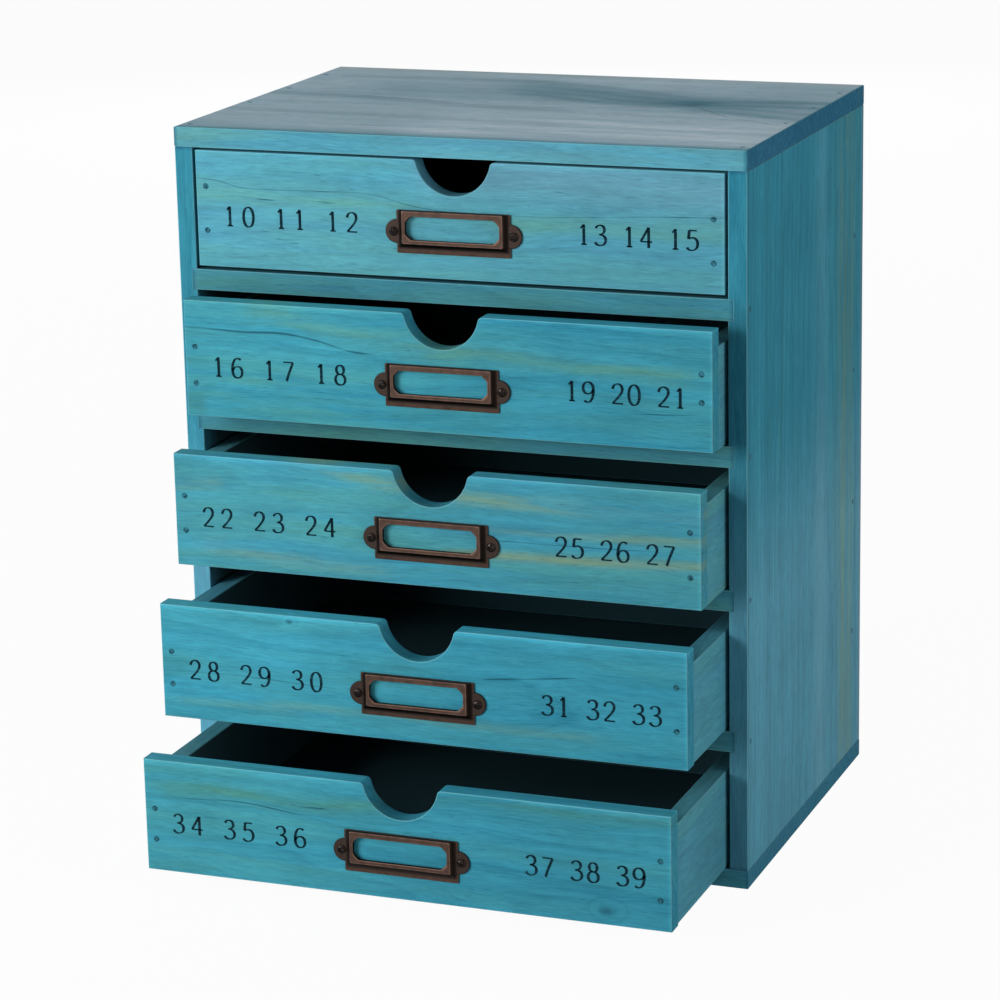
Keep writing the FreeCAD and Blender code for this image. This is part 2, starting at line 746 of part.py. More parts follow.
def make_label_holder(drawer, origin):
    """Make the pressed label holder: a flange with two round ears and a raised hollow frame."""
    sheet = size["sheet_thickness"]
    body = new_body(f"{drawer}_label_holder")
    flange = new_sketch(body, "XZ_Plane", 0)
    draw_rectangle(flange, 0, 0, size["holder_width"], size["holder_height"])
    pad(body, flange, sheet)
    for x in (as_size(0), size["holder_width"]):
        ear = new_sketch(body, "XZ_Plane", 0)
        draw_circles(ear, [(x, holder_middle)], 2 * size["ear_radius"])
        pad(body, ear, sheet)

    foot = new_sketch(body, "XZ_Plane", -sheet)
    foot_bottom = face_bottom - sheet
    draw_rectangle(foot, face_left - sheet, foot_bottom, face_width + 2 * sheet,
                   size["holder_height"] - foot_bottom)
    face = new_sketch(body, "XZ_Plane", -size["holder_depth"])
    draw_rectangle(face, face_left, face_bottom, face_width, face_height)
    frame = body.newObject("PartDesign::AdditiveLoft", f"{body.Label}_frame")
    frame.Profile = foot
    frame.Sections = [face]
    frame.Ruled = True

    hollow = new_sketch(body, "XZ_Plane", 0)
    draw_rectangle(hollow, face_left, face_bottom, face_width, face_height)
    pocket(body, hollow, size["holder_depth"] - sheet, reverse=True)
    window = new_sketch(body, "XZ_Plane", -size["holder_depth"])
    draw_rectangle(window, window_left, window_bottom, window_width, window_height)
    pocket(body, window, size["holder_depth"])
    bevel_window(body)
    spots = [(x, holder_middle) for x in screw_xs]
    cut_holes(body, "XZ_Plane", -sheet, spots, screw_hole, sheet)
    place(body, origin[0] + holder_left, origin[1], origin[2] + holder_bottom)


def bevel_window(body):
    """Bevel the four corners of the window in the raised face."""
    doc.recompute()
    corners = []
    for number, edge in enumerate(body.Shape.Edges, start=1):
        centre = edge.CenterOfMass
        along_depth = abs(edge.Length - size["sheet_thickness"].value) < SMALLEST_CUT
        beside = min(
            abs(centre.x - window_left.value),
            abs(centre.x - (window_left + window_width).value),
        )
        level = min(
            abs(centre.z - window_bottom.value),
            abs(centre.z - (window_bottom + window_height).value),
        )
        if along_depth and beside < SMALLEST_CUT and level < SMALLEST_CUT:
            corners.append(f"Edge{number}")
    bevel_edges(body, corners, size["window_bevel"])


def make_label_screws(drawer, origin):
    """Make the two screws that hold the label holder."""
    label = f"{drawer}_label_screws"
    outer_y = -size["sheet_thickness"] - size["screw_head_height"]
    head = (size["screw_head_diameter"], size["screw_head_height"])
    shank = (size["screw_diameter"], size["screw_length"])
    screws = [
        make_fastener(f"{label}_screw", (holder_left + x, outer_y, holder_bottom + holder_middle),
                      "+y", head, shank)
        for x in screw_xs
    ]
    place(group(label, screws), *origin)


def make_drawer(number):
    """Make every piece of one drawer, counted from the top one at 1."""
    drawer = f"drawer_{number}"
    bays_below = DRAWER_COUNT - number
    origin = (
        -front_width / 2,
        cabinet_front - size[f"opening_{number}"],
        size["bottom_thickness"] + bays_below * shelf_pitch + size["drawer_lift"],
    )
    front_origin = (*origin[:2], origin[2] + size[f"front_rise_{number}"])
    make_front(drawer, number, front_origin)
    make_wall(drawer, number, "left", origin)
    make_wall(drawer, number, "right", origin)
    make_drawer_back(drawer, origin)
    make_floor(drawer, origin)
    make_drawer_nails(drawer, number, origin)
    make_label_holder(drawer, front_origin)
    make_label_screws(drawer, front_origin)


# ---------------------------------------------------------------------------------------------
# Assembly and export
# ---------------------------------------------------------------------------------------------


def check_model():
    """Stop with the names of every failed object or empty shape."""
    doc.recompute()
    failed = [item.Label for item in doc.Objects if {"Invalid", "Error"} & set(item.State)]
    failed += [node.Label for node in nodes if node.Shape.isNull() or not node.Shape.isValid()]
    if failed:
        raise RuntimeError("failed: " + ", ".join(failed))


def export_nodes():
    """Write each sub-part to its own STEP file."""
    os.makedirs("parts", exist_ok=True)
    for node in nodes:
        node.Shape.exportStep(f"parts/{node.Label}.step")


make_top_panel()
make_bottom_panel()
make_side("left_side", left=True)
make_side("right_side", left=False)
for shelf in range(SHELF_COUNT):
    make_shelf(shelf)
make_back_panel()
make_cabinet_nails()
for count in range(1, DRAWER_COUNT + 1):
    make_drawer(count)
check_model()
export_nodes()
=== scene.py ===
"""Button storage drawers: a small nailed pine cabinet with five drawers, stained teal blue.

Every wooden board, label holder, screw and numeral is a surface worked out with numpy on the
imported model's frame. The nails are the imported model's own solids with a steel finish.
"""
import logging
import math
from collections.abc import Callable
from dataclasses import dataclass, field, replace
from enum import Enum

import bpy
import numpy as np
from mathutils import Matrix, Vector


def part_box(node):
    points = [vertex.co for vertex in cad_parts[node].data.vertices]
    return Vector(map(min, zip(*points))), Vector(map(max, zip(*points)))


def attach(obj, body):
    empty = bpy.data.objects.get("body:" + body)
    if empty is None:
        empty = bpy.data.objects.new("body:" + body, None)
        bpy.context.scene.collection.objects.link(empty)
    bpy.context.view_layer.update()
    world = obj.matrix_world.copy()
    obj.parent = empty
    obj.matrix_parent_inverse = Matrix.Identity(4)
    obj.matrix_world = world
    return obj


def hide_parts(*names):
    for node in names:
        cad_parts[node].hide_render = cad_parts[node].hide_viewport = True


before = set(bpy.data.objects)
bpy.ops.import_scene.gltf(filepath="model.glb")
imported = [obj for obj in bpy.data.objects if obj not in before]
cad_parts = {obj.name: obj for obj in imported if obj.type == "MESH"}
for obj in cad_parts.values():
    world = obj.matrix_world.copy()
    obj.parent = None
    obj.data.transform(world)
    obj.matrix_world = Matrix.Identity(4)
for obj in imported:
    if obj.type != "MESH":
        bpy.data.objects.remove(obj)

MM = 0.001
LOG = logging.getLogger("button_drawers")
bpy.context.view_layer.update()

# Edges sharper than this stay crisp under smooth shading.
SHARP_ANGLE = math.radians(38)
# Width of the steep wall of a cut, and how far inside a board's outline its first line runs.
CUT_WALL = 0.03 * MM
EDGE_LINE = 1.8 * MM
# Half width in mm of a streak that covers its whole board.
ALL_OVER = 900.0
# Half widths from a dark line at which nothing of it is left.
OUT_OF_REACH = 60.0
# Width of a numeral, where its height is 1.
NUMERAL_WIDTH = 0.62

Array = np.ndarray
Place = tuple[float, float]
Level = Callable[[Array, Array], Array]


class Axis(Enum):
    """The three directions of the row frame: width, depth and height."""

    X = 0
    Y = 1
    Z = 2


class Face(Enum):
    """Which broad faces of a board are meant: the one at the lower coordinate is NEAR."""

    NONE = "none"
    NEAR = "near"
    FAR = "far"
    BOTH = "both"


# ---------------------------------------------------------------------------
# Colours and nodes
# ---------------------------------------------------------------------------

def linear(code: str) -> tuple[float, float, float, float]:
    """Turns an sRGB hex colour into linear RGBA.

    Args:
        code: six hex digits with a leading hash.

    Returns:
        The linear red, green, blue and an alpha of 1.
    """
    srgb = np.array([int(code[i:i + 2], 16) for i in (1, 3, 5)]) / 255.0
    rgb = np.where(srgb <= 0.04045, srgb / 12.92, ((srgb + 0.055) / 1.055) ** 2.4)
    return (float(rgb[0]), float(rgb[1]), float(rgb[2]), 1.0)


def add(tree: bpy.types.NodeTree, kind: str, inputs: dict | None = None,
        **settings: object) -> bpy.types.Node:
    """Adds one node with its settings, its constants and its links.

    Args:
        tree: the node tree that gets the node.
        kind: the node's type name.
        inputs: socket name or index to a number, a colour, a node (its first live output) or
            a (node, output name) pair.
        **settings: properties of the node, set before its sockets.

    Returns:
        The new node.
    """
    node = tree.nodes.new(kind)
    for name, value in settings.items():
        setattr(node, name, value)
    for key, value in (inputs or {}).items():
        socket = node.inputs[key] if isinstance(key, int) else next(
            s for s in node.inputs if s.name == key and s.enabled)
        if isinstance(value, bpy.types.Node):
            tree.links.new(next(o for o in value.outputs if o.enabled), socket)
        elif isinstance(value, tuple) and isinstance(value[0], bpy.types.Node):
            tree.links.new(value[0].outputs[value[1]], socket)
        else:
            socket.default_value = value
    return node


def new_material(name: str) -> tuple[bpy.types.Material, bpy.types.NodeTree]:
    """Makes an empty node material.

    Args:
        name: the finish's name.

    Returns:
        The material and its node tree.
    """
    material = bpy.data.materials.new(name)
    material.use_nodes = True
    material.node_tree.nodes.clear()
    return material, material.node_tree


def seen_rays(tree: bpy.types.NodeTree) -> bpy.types.Node:
    """Tells the rays that show the surroundings from those that only light the object.

    Args:
        tree: the node tree that gets the nodes.

    Returns:
        A node whose value is 1 for a ray from the camera, off gloss or through glass, else 0.
    """
    path = add(tree, "ShaderNodeLightPath")
    seen = add(tree, "ShaderNodeMath", {0: (path, "Is Camera Ray"), 1: (path, "Is Glossy Ray")},
               operation="MAXIMUM")
    return add(tree, "ShaderNodeMath", {0: seen, 1: (path, "Is Transmission Ray")},
               operation="MAXIMUM")


# ---------------------------------------------------------------------------
# Finishes
# ---------------------------------------------------------------------------

@dataclass(frozen=True)
class Tone:
    """How one board took the stain.

    Attributes:
        light: brightness, 1 for the usual board.
        green: 0 for pure blue teal up to 1 for the greenish streaks everywhere.
        grey: 0 for a full stain up to 1 for a rubbed, greyer one, which also paints sheen.
    """

    light: float = 1.0
    green: float = 0.3
    grey: float = 0.0


@dataclass(frozen=True)
class StainedPine:
    """Planed pine boards wiped with a thin teal water stain.

    The stain lets the growth rings through as soft greenish streaks and soaks dark into end
    grain. The edges are lighter, partly rubbed and partly a painted highlight; a greyer share is
    partly a rubbed stain and partly painted sheen; the nail pits are painted dark and the inner
    faces nearly black, as shade. The bare stain has hardly any gloss; a waxed board catches
    the light.
    """

    name: str = "stained_pine"
    early: str = "#3E9FB9"
    late: str = "#1F7894"
    green: str = "#559F90"
    brown: str = "#86A07E"
    grey: str = "#9DB0BF"
    pore: str = "#154A5C"
    end: str = "#1F5A7C"
    inside: str = "#2D4B54"
    rubbed_and_highlight: str = "#86C8D2"
    ring_pitch: float = 5.2
    ring_depth: float = 0.30
    roughness: float = 0.82
    specular: float = 0.12
    wax: float = 0.12

    def material(self) -> bpy.types.Material:
        """Builds the wood from the grain, wear, tone, brown, vein, pit and knot values.

        Returns:
            The finished material.
        """
        made, tree = new_material(self.name)
        grain, wear, tone, vein, brown, pit, knot = (
            add(tree, "ShaderNodeAttribute", attribute_name=name)
            for name in ("grain", "wear", "tone", "vein", "brown", "pit", "knot"))
        wear, tone = (add(tree, "ShaderNodeSeparateXYZ", {0: (value, "Vector")})
                      for value in (wear, tone))

        # The attribute is in metres along, across and into the board; the pattern works in mm.
        place = add(tree, "ShaderNodeVectorMath", {0: (grain, "Vector"), "Scale": 1000.0},
                    operation="SCALE")
        # Growth rings wander by about 4 mm over 90 mm of length.
        sway_at = add(tree, "ShaderNodeVectorMath", {0: place, 1: (1 / 90, 1 / 26, 1 / 26)},
                      operation="MULTIPLY")
        sway = add(tree, "ShaderNodeTexNoise", {"Vector": sway_at, "Scale": 1.0, "Detail": 2.0})
        shift = add(tree, "ShaderNodeVectorMath", {
            0: add(tree, "ShaderNodeVectorMath", {0: (sway, "Color"), 1: (0.5, 0.5, 0.5)},
                   operation="SUBTRACT"), 1: (0.0, 9.0, 9.0)}, operation="MULTIPLY")
        bent = add(tree, "ShaderNodeVectorMath", {0: place, 1: shift}, operation="ADD")
        across = add(tree, "ShaderNodeVectorMath", {0: bent, 1: (0.0, 1.0, 1.0)},
                     operation="MULTIPLY")
        radius = add(tree, "ShaderNodeVectorMath", {0: across}, operation="LENGTH")
        along = add(tree, "ShaderNodeSeparateXYZ", {0: place})
        # The trunk tapers by 3.5 mm in 100 mm, which draws arches on a flat-sawn face.
        cone = add(tree, "ShaderNodeMath", {0: (along, "X"), 1: 0.035, 2: (radius, "Value")},
                   operation="MULTIPLY_ADD")
        # A knot pushes the rings round itself, a little past its own reach of 10 units, and
        # further along the grain than across it.
        knot_mm = add(tree, "ShaderNodeVectorMath", {0: (knot, "Vector"), 1: (620, 1000, 1000)},
                      operation="MULTIPLY")
        knot_far = add(tree, "ShaderNodeVectorMath", {0: knot_mm}, operation="LENGTH")
        knot_push = add(tree, "ShaderNodeMapRange", {
            "Value": (knot_far, "Value"), "From Min": 12.0, "From Max": 0.0, "To Max": 9.0},
            interpolation_type="SMOOTHERSTEP")
        cone = add(tree, "ShaderNodeMath", {0: cone, 1: knot_push}, operation="ADD")
        phase = add(tree, "ShaderNodeMath", {
            0: add(tree, "ShaderNodeMath", {0: cone, 1: self.ring_pitch}, operation="DIVIDE")},
            operation="FRACT")
        ring = add(tree, "ShaderNodeValToRGB", {0: phase})
        stops = ring.color_ramp.elements
        stops[0].position, stops[0].color = 0.0, (0.0, 0.0, 0.0, 1)
        stops[1].position, stops[1].color = 1.0, (0.0, 0.0, 0.0, 1)
        for position, value in ((0.50, 0.12), (0.80, 0.75), (0.93, 1.0)):
            stop = stops.new(position)
            stop.color = (value, value, value, 1)

        # Four patterns drawn out along the grain: length and width in mm, detail, roughness.
        fibre, dash, streak, thick = (
            add(tree, "ShaderNodeTexNoise", {
                "Vector": add(tree, "ShaderNodeVectorMath", {
                    0: bent, 1: (1 / length, 1 / width, 1 / width)}, operation="MULTIPLY"),
                "Scale": 1.0, "Detail": detail, "Roughness": roughness})
            for length, width, detail, roughness in (
                (8, 0.5, 3.0, 0.65),   # Fibres. Real ones are finer and would not show.
                (7, 0.6, 1.0, 0.5),    # Resin canals and planing nicks, as dark dashes.
                (120, 8, 4.0, 0.6),    # Broad streaks where the stain went greenish.
                (50, 2.5, 3.0, 0.6)))  # Narrow streaks of thicker stain.
        dash = add(tree, "ShaderNodeMapRange", {
            "Value": dash, "From Min": 0.68, "From Max": 0.80, "To Max": 0.45})
        streaky = {"Value": streak, "From Min": 0.36, "From Max": 0.68}
        greener = add(tree, "ShaderNodeMapRange", {**streaky, "To Min": 0.1, "To Max": 1.0})
        deeper = add(tree, "ShaderNodeMapRange", {
            "Value": thick, "From Min": 0.35, "From Max": 0.75, "To Max": 0.5})
        # Wiping marks: soft patches about 30 mm across.
        patch = add(tree, "ShaderNodeTexNoise", {
            "Vector": place, "Scale": 1 / 30, "Detail": 2.0})

        # End grain shows its rings more plainly than a face.
        depth = add(tree, "ShaderNodeMath", {0: (wear, "X"), 1: 0.5, 2: self.ring_depth},
                    operation="MULTIPLY_ADD")
        ringed = add(tree, "ShaderNodeMath", {0: ring, 1: depth}, operation="MULTIPLY")
        taken = add(tree, "ShaderNodeMath", {0: ringed, 1: deeper}, operation="ADD",
                    use_clamp=True)
        greened, browned = (
            add(tree, "ShaderNodeMath", {0: greener, 1: amount}, operation="MULTIPLY",
                use_clamp=True) for amount in ((tone, "Y"), (brown, "Fac")))
        # The grey share is partly a rubbed stain and partly painted sheen.
        greyed_and_sheen = add(tree, "ShaderNodeMath", {
            0: (tone, "Z"),
            1: add(tree, "ShaderNodeMapRange", {**streaky, "To Min": 1.1, "To Max": 0.84})},
            operation="MULTIPLY", use_clamp=True)
        fine = add(tree, "ShaderNodeMapRange", {
            "Value": fibre, "From Min": 0.3, "From Max": 0.7, "To Min": 0.84, "To Max": 1.14})
        broad = add(tree, "ShaderNodeMapRange", {
            "Value": patch, "From Min": 0.3, "From Max": 0.7, "To Min": 0.94, "To Max": 1.05})
        light = add(tree, "ShaderNodeMath", {0: fine, 1: broad}, operation="MULTIPLY")
        light = add(tree, "ShaderNodeMath", {0: light, 1: (tone, "X")}, operation="MULTIPLY")

        # Dark ring lines: the attribute counts half widths from up to three drawn lines.
        beside = add(tree, "ShaderNodeSeparateXYZ", {
            0: add(tree, "ShaderNodeVectorMath", {0: (vein, "Vector")}, operation="ABSOLUTE")})
        nearest = add(tree, "ShaderNodeMath", {
            0: add(tree, "ShaderNodeMath", {0: (beside, "X"), 1: (beside, "Y")},
                   operation="MINIMUM"), 1: (beside, "Z")}, operation="MINIMUM")
        line = add(tree, "ShaderNodeMapRange", {
            "Value": nearest, "From Min": 1.5, "From Max": 0.4, "To Max": 0.9})
        broken = add(tree, "ShaderNodeMapRange", {
            "Value": thick, "From Min": 0.35, "From Max": 0.6, "To Min": 0.25, "To Max": 0.9})
        heart = add(tree, "ShaderNodeMapRange", {
            "Value": (knot_far, "Value"), "From Min": 3.6, "From Max": 1.0, "To Max": 0.6})
        # End grain drinks the stain in blots about 2 mm across.
        blot = add(tree, "ShaderNodeTexNoise", {
            "Vector": place, "Scale": 1 / 2.0, "Detail": 3.0, "Roughness": 0.7})
        soaked = add(tree, "ShaderNodeMath", {
            0: add(tree, "ShaderNodeMapRange", {"Value": blot, "From Min": 0.25,
                                                "From Max": 0.6, "To Min": 0.55}),
            1: (wear, "X")}, operation="MULTIPLY", use_clamp=True)
        # Painted shade in the nail pits, ragged at its edge.
        ragged = add(tree, "ShaderNodeMapRange", {
            "Value": blot, "From Min": 0.35, "From Max": 0.6, "To Min": 0.6})
        # The eased edges are lighter, partly wear and partly a painted highlight.
        ringline, edge_wear_and_highlight, inside_shade, pitted = (
            add(tree, "ShaderNodeMath", {0: first, 1: second}, operation="MULTIPLY")
            for first, second in ((line, broken), ((wear, "Z"), 0.5), ((wear, "Y"), 0.95),
                                  ((pit, "Fac"), ragged)))

        # The layers, the lowest first: where each one lies, and its colour.
        colour = add(tree, "ShaderNodeMix", {
            "Factor": taken, "A": linear(self.early), "B": linear(self.late)}, data_type="RGBA")
        for share, over in ((greened, self.green), (browned, self.brown), (greyed_and_sheen, self.grey)):
            colour = add(tree, "ShaderNodeMix", {"Factor": share, "A": colour,
                                                 "B": linear(over)}, data_type="RGBA")
        colour = add(tree, "ShaderNodeVectorMath", {0: colour, "Scale": light},
                     operation="SCALE")
        # Painted shade: the inner faces go nearly black and the nail pits dark.
        for share, over in ((dash, self.pore), (ringline, self.pore), (heart, self.pore),
                            (edge_wear_and_highlight, self.rubbed_and_highlight), (soaked, self.end), (inside_shade, self.inside),
                            (pitted, self.inside)):
            colour = add(tree, "ShaderNodeMix", {"Factor": share, "A": colour,
                                                 "B": linear(over)}, data_type="RGBA")

        # Where the stain lies thick it is duller; a greyer, waxed place is smoother.
        gloss = add(tree, "ShaderNodeMapRange", {
            "Value": fibre, "From Min": 0.3, "From Max": 0.7,
            "To Min": self.roughness + 0.08, "To Max": self.roughness - 0.04})
        gloss = add(tree, "ShaderNodeMath", {0: greyed_and_sheen, 1: -self.wax, 2: gloss},
                    operation="MULTIPLY_ADD", use_clamp=True)
        height = add(tree, "ShaderNodeMath", {0: fibre, 1: dash}, operation="SUBTRACT")
        bump = add(tree, "ShaderNodeBump", {
            "Strength": 0.3, "Distance": 0.1 * MM, "Height": height})
        shader = add(tree, "ShaderNodeBsdfPrincipled", {
            "Base Color": colour, "Roughness": gloss, "Normal": bump, "IOR": 1.5,
            "Specular IOR Level": self.specular})
        add(tree, "ShaderNodeOutputMaterial", {"Surface": shader})
        return made


@dataclass(frozen=True)
class AgedCopperPlate:
    """Pressed steel plated with copper and browned: dark in the hollows and on the slopes as
    patina and painted shade, light on the rims as wear and painted highlight.
    """

    name: str = "aged_copper_plate"
    brown: str = "#312925"
    patina_and_shade: str = "#14100E"
    rubbed_and_highlight: str = "#7A5C4F"
    roughness: float = 0.48

    def material(self) -> bpy.types.Material:
        """Builds the plate: brown metal, darker where it is low, brighter on its ridges.

        Returns:
            The finished material.
        """
        made, tree = new_material(self.name)
        ridge = add(tree, "ShaderNodeAttribute", attribute_name="ridge")
        where = add(tree, "ShaderNodeTexCoord")
        # Blotches of patina about 3 mm across, and scratches about 0.4 mm apart.
        blotch = add(tree, "ShaderNodeTexNoise", {
            "Vector": (where, "Object"), "Scale": 1 / (3 * MM), "Detail": 3.0})
        scratch = add(tree, "ShaderNodeTexNoise", {
            "Vector": (where, "Object"), "Scale": 1 / (0.4 * MM), "Detail": 2.0})
        # The rims are lighter, partly rubbed and partly a painted highlight.
        worn = add(tree, "ShaderNodeMath", {0: (ridge, "Fac"), 1: (
            add(tree, "ShaderNodeMapRange", {"Value": blotch, "From Min": 0.3,
                                             "From Max": 0.65, "To Min": 0.35}), "Result")},
            operation="MULTIPLY", use_clamp=True)
        # Low places are darker, partly patina and partly painted shade.
        base = add(tree, "ShaderNodeMix", {
            "Factor": add(tree, "ShaderNodeMapRange", {
                "Value": (ridge, "Fac"), "From Min": -1.0, "From Max": 0.0}),
            "A": linear(self.patina_and_shade), "B": linear(self.brown)}, data_type="RGBA")
        colour = add(tree, "ShaderNodeMix", {"Factor": worn, "A": base,
                                             "B": linear(self.rubbed_and_highlight)}, data_type="RGBA")
        gloss = add(tree, "ShaderNodeMapRange", {
            "Value": blotch, "From Min": 0.3, "From Max": 0.7,
            "To Min": self.roughness - 0.05, "To Max": self.roughness + 0.12})
        bump = add(tree, "ShaderNodeBump", {
            "Strength": 0.2, "Distance": 0.05 * MM, "Height": scratch})
        shader = add(tree, "ShaderNodeBsdfPrincipled", {
            "Base Color": colour, "Metallic": 1.0, "Roughness": gloss, "Normal": bump})
        add(tree, "ShaderNodeOutputMaterial", {"Surface": shader})
        return made


@dataclass(frozen=True)
class DarkSteel:
    """Blackened or oxidised steel, as on small screws and sunk nails: dark, with a dull shine."""

    name: str
    dark: str
    light: str
    roughness: float

    def material(self) -> bpy.types.Material:
        """Builds the steel, mottled by its oxide.

        Returns:
            The finished material.
        """
        made, tree = new_material(self.name)
        where = add(tree, "ShaderNodeTexCoord")
        # Oxide mottling about 0.8 mm across.
        mottle = add(tree, "ShaderNodeTexNoise", {
            "Vector": (where, "Object"), "Scale": 1 / (0.8 * MM), "Detail": 2.0})
        colour = add(tree, "ShaderNodeMix", {
            "Factor": add(tree, "ShaderNodeMapRange", {
                "Value": mottle, "From Min": 0.35, "From Max": 0.65}),
            "A": linear(self.dark), "B": linear(self.light)}, data_type="RGBA")
        gloss = add(tree, "ShaderNodeMapRange", {
            "Value": mottle, "To Min": self.roughness - 0.08, "To Max": self.roughness + 0.12})
        shader = add(tree, "ShaderNodeBsdfPrincipled", {
            "Base Color": colour, "Metallic": 1.0, "Roughness": gloss})
        add(tree, "ShaderNodeOutputMaterial", {"Surface": shader})
        return made


@dataclass(frozen=True)
class StampedInk:
    """Thin dark ink stamped on the wood: matt, and a little broken by the grain."""

    name: str = "stamped_ink"
    full: str = "#0A222C"
    worn: str = "#1C4756"
    roughness: float = 0.85

    def material(self) -> bpy.types.Material:
        """Builds the ink with faint horizontal breaks where the fibres show through.

        Returns:
            The finished material.
        """
        made, tree = new_material(self.name)
        where = add(tree, "ShaderNodeTexCoord")
        # The fibres under the ink lie along X, about 0.8 mm apart.
        fibre = add(tree, "ShaderNodeTexNoise", {
            "Vector": add(tree, "ShaderNodeVectorMath", {
                0: (where, "Object"), 1: (1 / (12 * MM), 1 / (0.8 * MM), 1 / (0.8 * MM))},
                operation="MULTIPLY"), "Scale": 1.0, "Detail": 2.0})
        colour = add(tree, "ShaderNodeMix", {
            "Factor": add(tree, "ShaderNodeMapRange", {
                "Value": fibre, "From Min": 0.5, "From Max": 0.75}),
            "A": linear(self.full), "B": linear(self.worn)}, data_type="RGBA")
        shader = add(tree, "ShaderNodeBsdfPrincipled", {
            "Base Color": colour, "Roughness": self.roughness, "Specular IOR Level": 0.08})
        add(tree, "ShaderNodeOutputMaterial", {"Surface": shader})
        return made


@dataclass(frozen=True)
class PaleFloor:
    """A plain pale floor that reads white to the camera and keeps the object's soft shadow."""

    name: str = "pale_floor"
    colour: str = "#F4F4F4"
    glow: float = 0.96

    def material(self) -> bpy.types.Material:
        """Builds a pale matt floor, mostly white to rays that look straight at it.

        Returns:
            The finished material.
        """
        made, tree = new_material(self.name)
        matt = add(tree, "ShaderNodeBsdfDiffuse", {"Color": linear(self.colour)})
        white = add(tree, "ShaderNodeEmission", {"Color": (1, 1, 1, 1), "Strength": 1.0})
        share = add(tree, "ShaderNodeMath", {0: seen_rays(tree), 1: self.glow},
                    operation="MULTIPLY")
        mix = add(tree, "ShaderNodeMixShader", {0: share, 1: matt, 2: white})
        add(tree, "ShaderNodeOutputMaterial", {"Surface": mix})
        return made


# ---------------------------------------------------------------------------
# Surfaces
# ---------------------------------------------------------------------------

@dataclass
class Surface:
    """A closed shell as plain arrays.

    Attributes:
        points: (n, 3) corner points in metres.
        faces: arrays of corner numbers, one for each number of corners.
        values: per-point attributes, (n,) or (n, 3).
    """

    points: Array
    faces: list[Array]
    values: dict[str, Array] = field(default_factory=dict)

    def outward(self) -> "Surface":
        """Turns every face over if the shell's signed volume is negative.

        The volume is the sum over fans of triangles of a . (b x c) / 6.

        Returns:
            The same shell with its faces pointing outwards.
        """
        volume = 0.0
        for block in self.faces:
            for k in range(1, block.shape[1] - 1):
                a, b, c = (self.points[block[:, i]] for i in (0, k, k + 1))
                volume += float(np.einsum("ij,ij->", a, np.cross(b, c)))
        if volume < 0:
            self.faces = [block[:, ::-1] for block in self.faces]
        return self

    @staticmethod
    def joined(parts: list["Surface"]) -> "Surface":
        """Puts several shells into one, their corner numbers following on.

        Args:
            parts: shells with the same attributes.

        Returns:
            One surface with all of them.
        """
        starts = np.cumsum([0] + [len(p.points) for p in parts[:-1]])
        return Surface(
            np.concatenate([p.points for p in parts]),
            [block + start for p, start in zip(parts, starts) for block in p.faces],
            {key: np.concatenate([p.values[key] for p in parts]) for key in parts[0].values})


def make_piece(name: str, surface: Surface, material: bpy.types.Material, body: str,
               stands_for: tuple[str, ...] = ()) -> bpy.types.Object:
    """Puts a surface into Blender as a smooth-shaded piece that rides on a body.

    Args:
        name: the object's name.
        surface: the shell, in row-frame metres.
        material: its finish.
        body: the body that it moves with.
        stands_for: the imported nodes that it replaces.

    Returns:
        The new object.
    """
    corners = np.concatenate([block.ravel() for block in surface.faces])
    counts = np.concatenate([np.full(len(b), b.shape[1]) for b in surface.faces])
    mesh = bpy.data.meshes.new(name)
    mesh.vertices.add(len(surface.points))
    mesh.vertices.foreach_set("co", surface.points.astype(np.float32).ravel())
    mesh.loops.add(len(corners))
    mesh.loops.foreach_set("vertex_index", corners.astype(np.int32))
    mesh.polygons.add(len(counts))
    mesh.polygons.foreach_set("loop_start", (np.cumsum(counts) - counts).astype(np.int32))
    mesh.update(calc_edges=True)
    mesh.polygons.foreach_set("use_smooth", np.ones(len(counts), dtype=bool))
    for key, values in surface.values.items():
        kind, socket = ("FLOAT_VECTOR", "vector") if values.ndim == 2 else ("FLOAT", "value")
        layer = mesh.attributes.new(key, kind, "POINT")
        layer.data.foreach_set(socket, values.astype(np.float32).ravel())
    mesh.validate()
    mesh.set_sharp_from_angle(angle=SHARP_ANGLE)
    mesh.materials.append(material)
    piece = bpy.data.objects.new(name, mesh)
    bpy.context.scene.collection.objects.link(piece)
    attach(piece, body)
    if stands_for:
        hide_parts(*stands_for)
    LOG.info("%s: %d points, %d faces, on %s", name, len(surface.points), len(counts), body)
    return piece


def smooth_step(value: Array, low: float, high: float) -> Array:
    """0 below low, 1 above high, and 3t^2 - 2t^3 between."""
    t = np.clip((value - low) / (high - low), 0.0, 1.0)
    return t * t * (3.0 - 2.0 * t)


def ring_faces(rings: Array) -> Array:
    """Joins neighbouring closed rings with quads.

    Args:
        rings: (r, k) corner numbers, one row for each ring.

    Returns:
        (n, 4) quads, each from one ring to the next.
    """
    a, b = rings[:-1], rings[1:]
    return np.stack([a, np.roll(a, -1, 1), np.roll(b, -1, 1), b], -1).reshape(-1, 4)


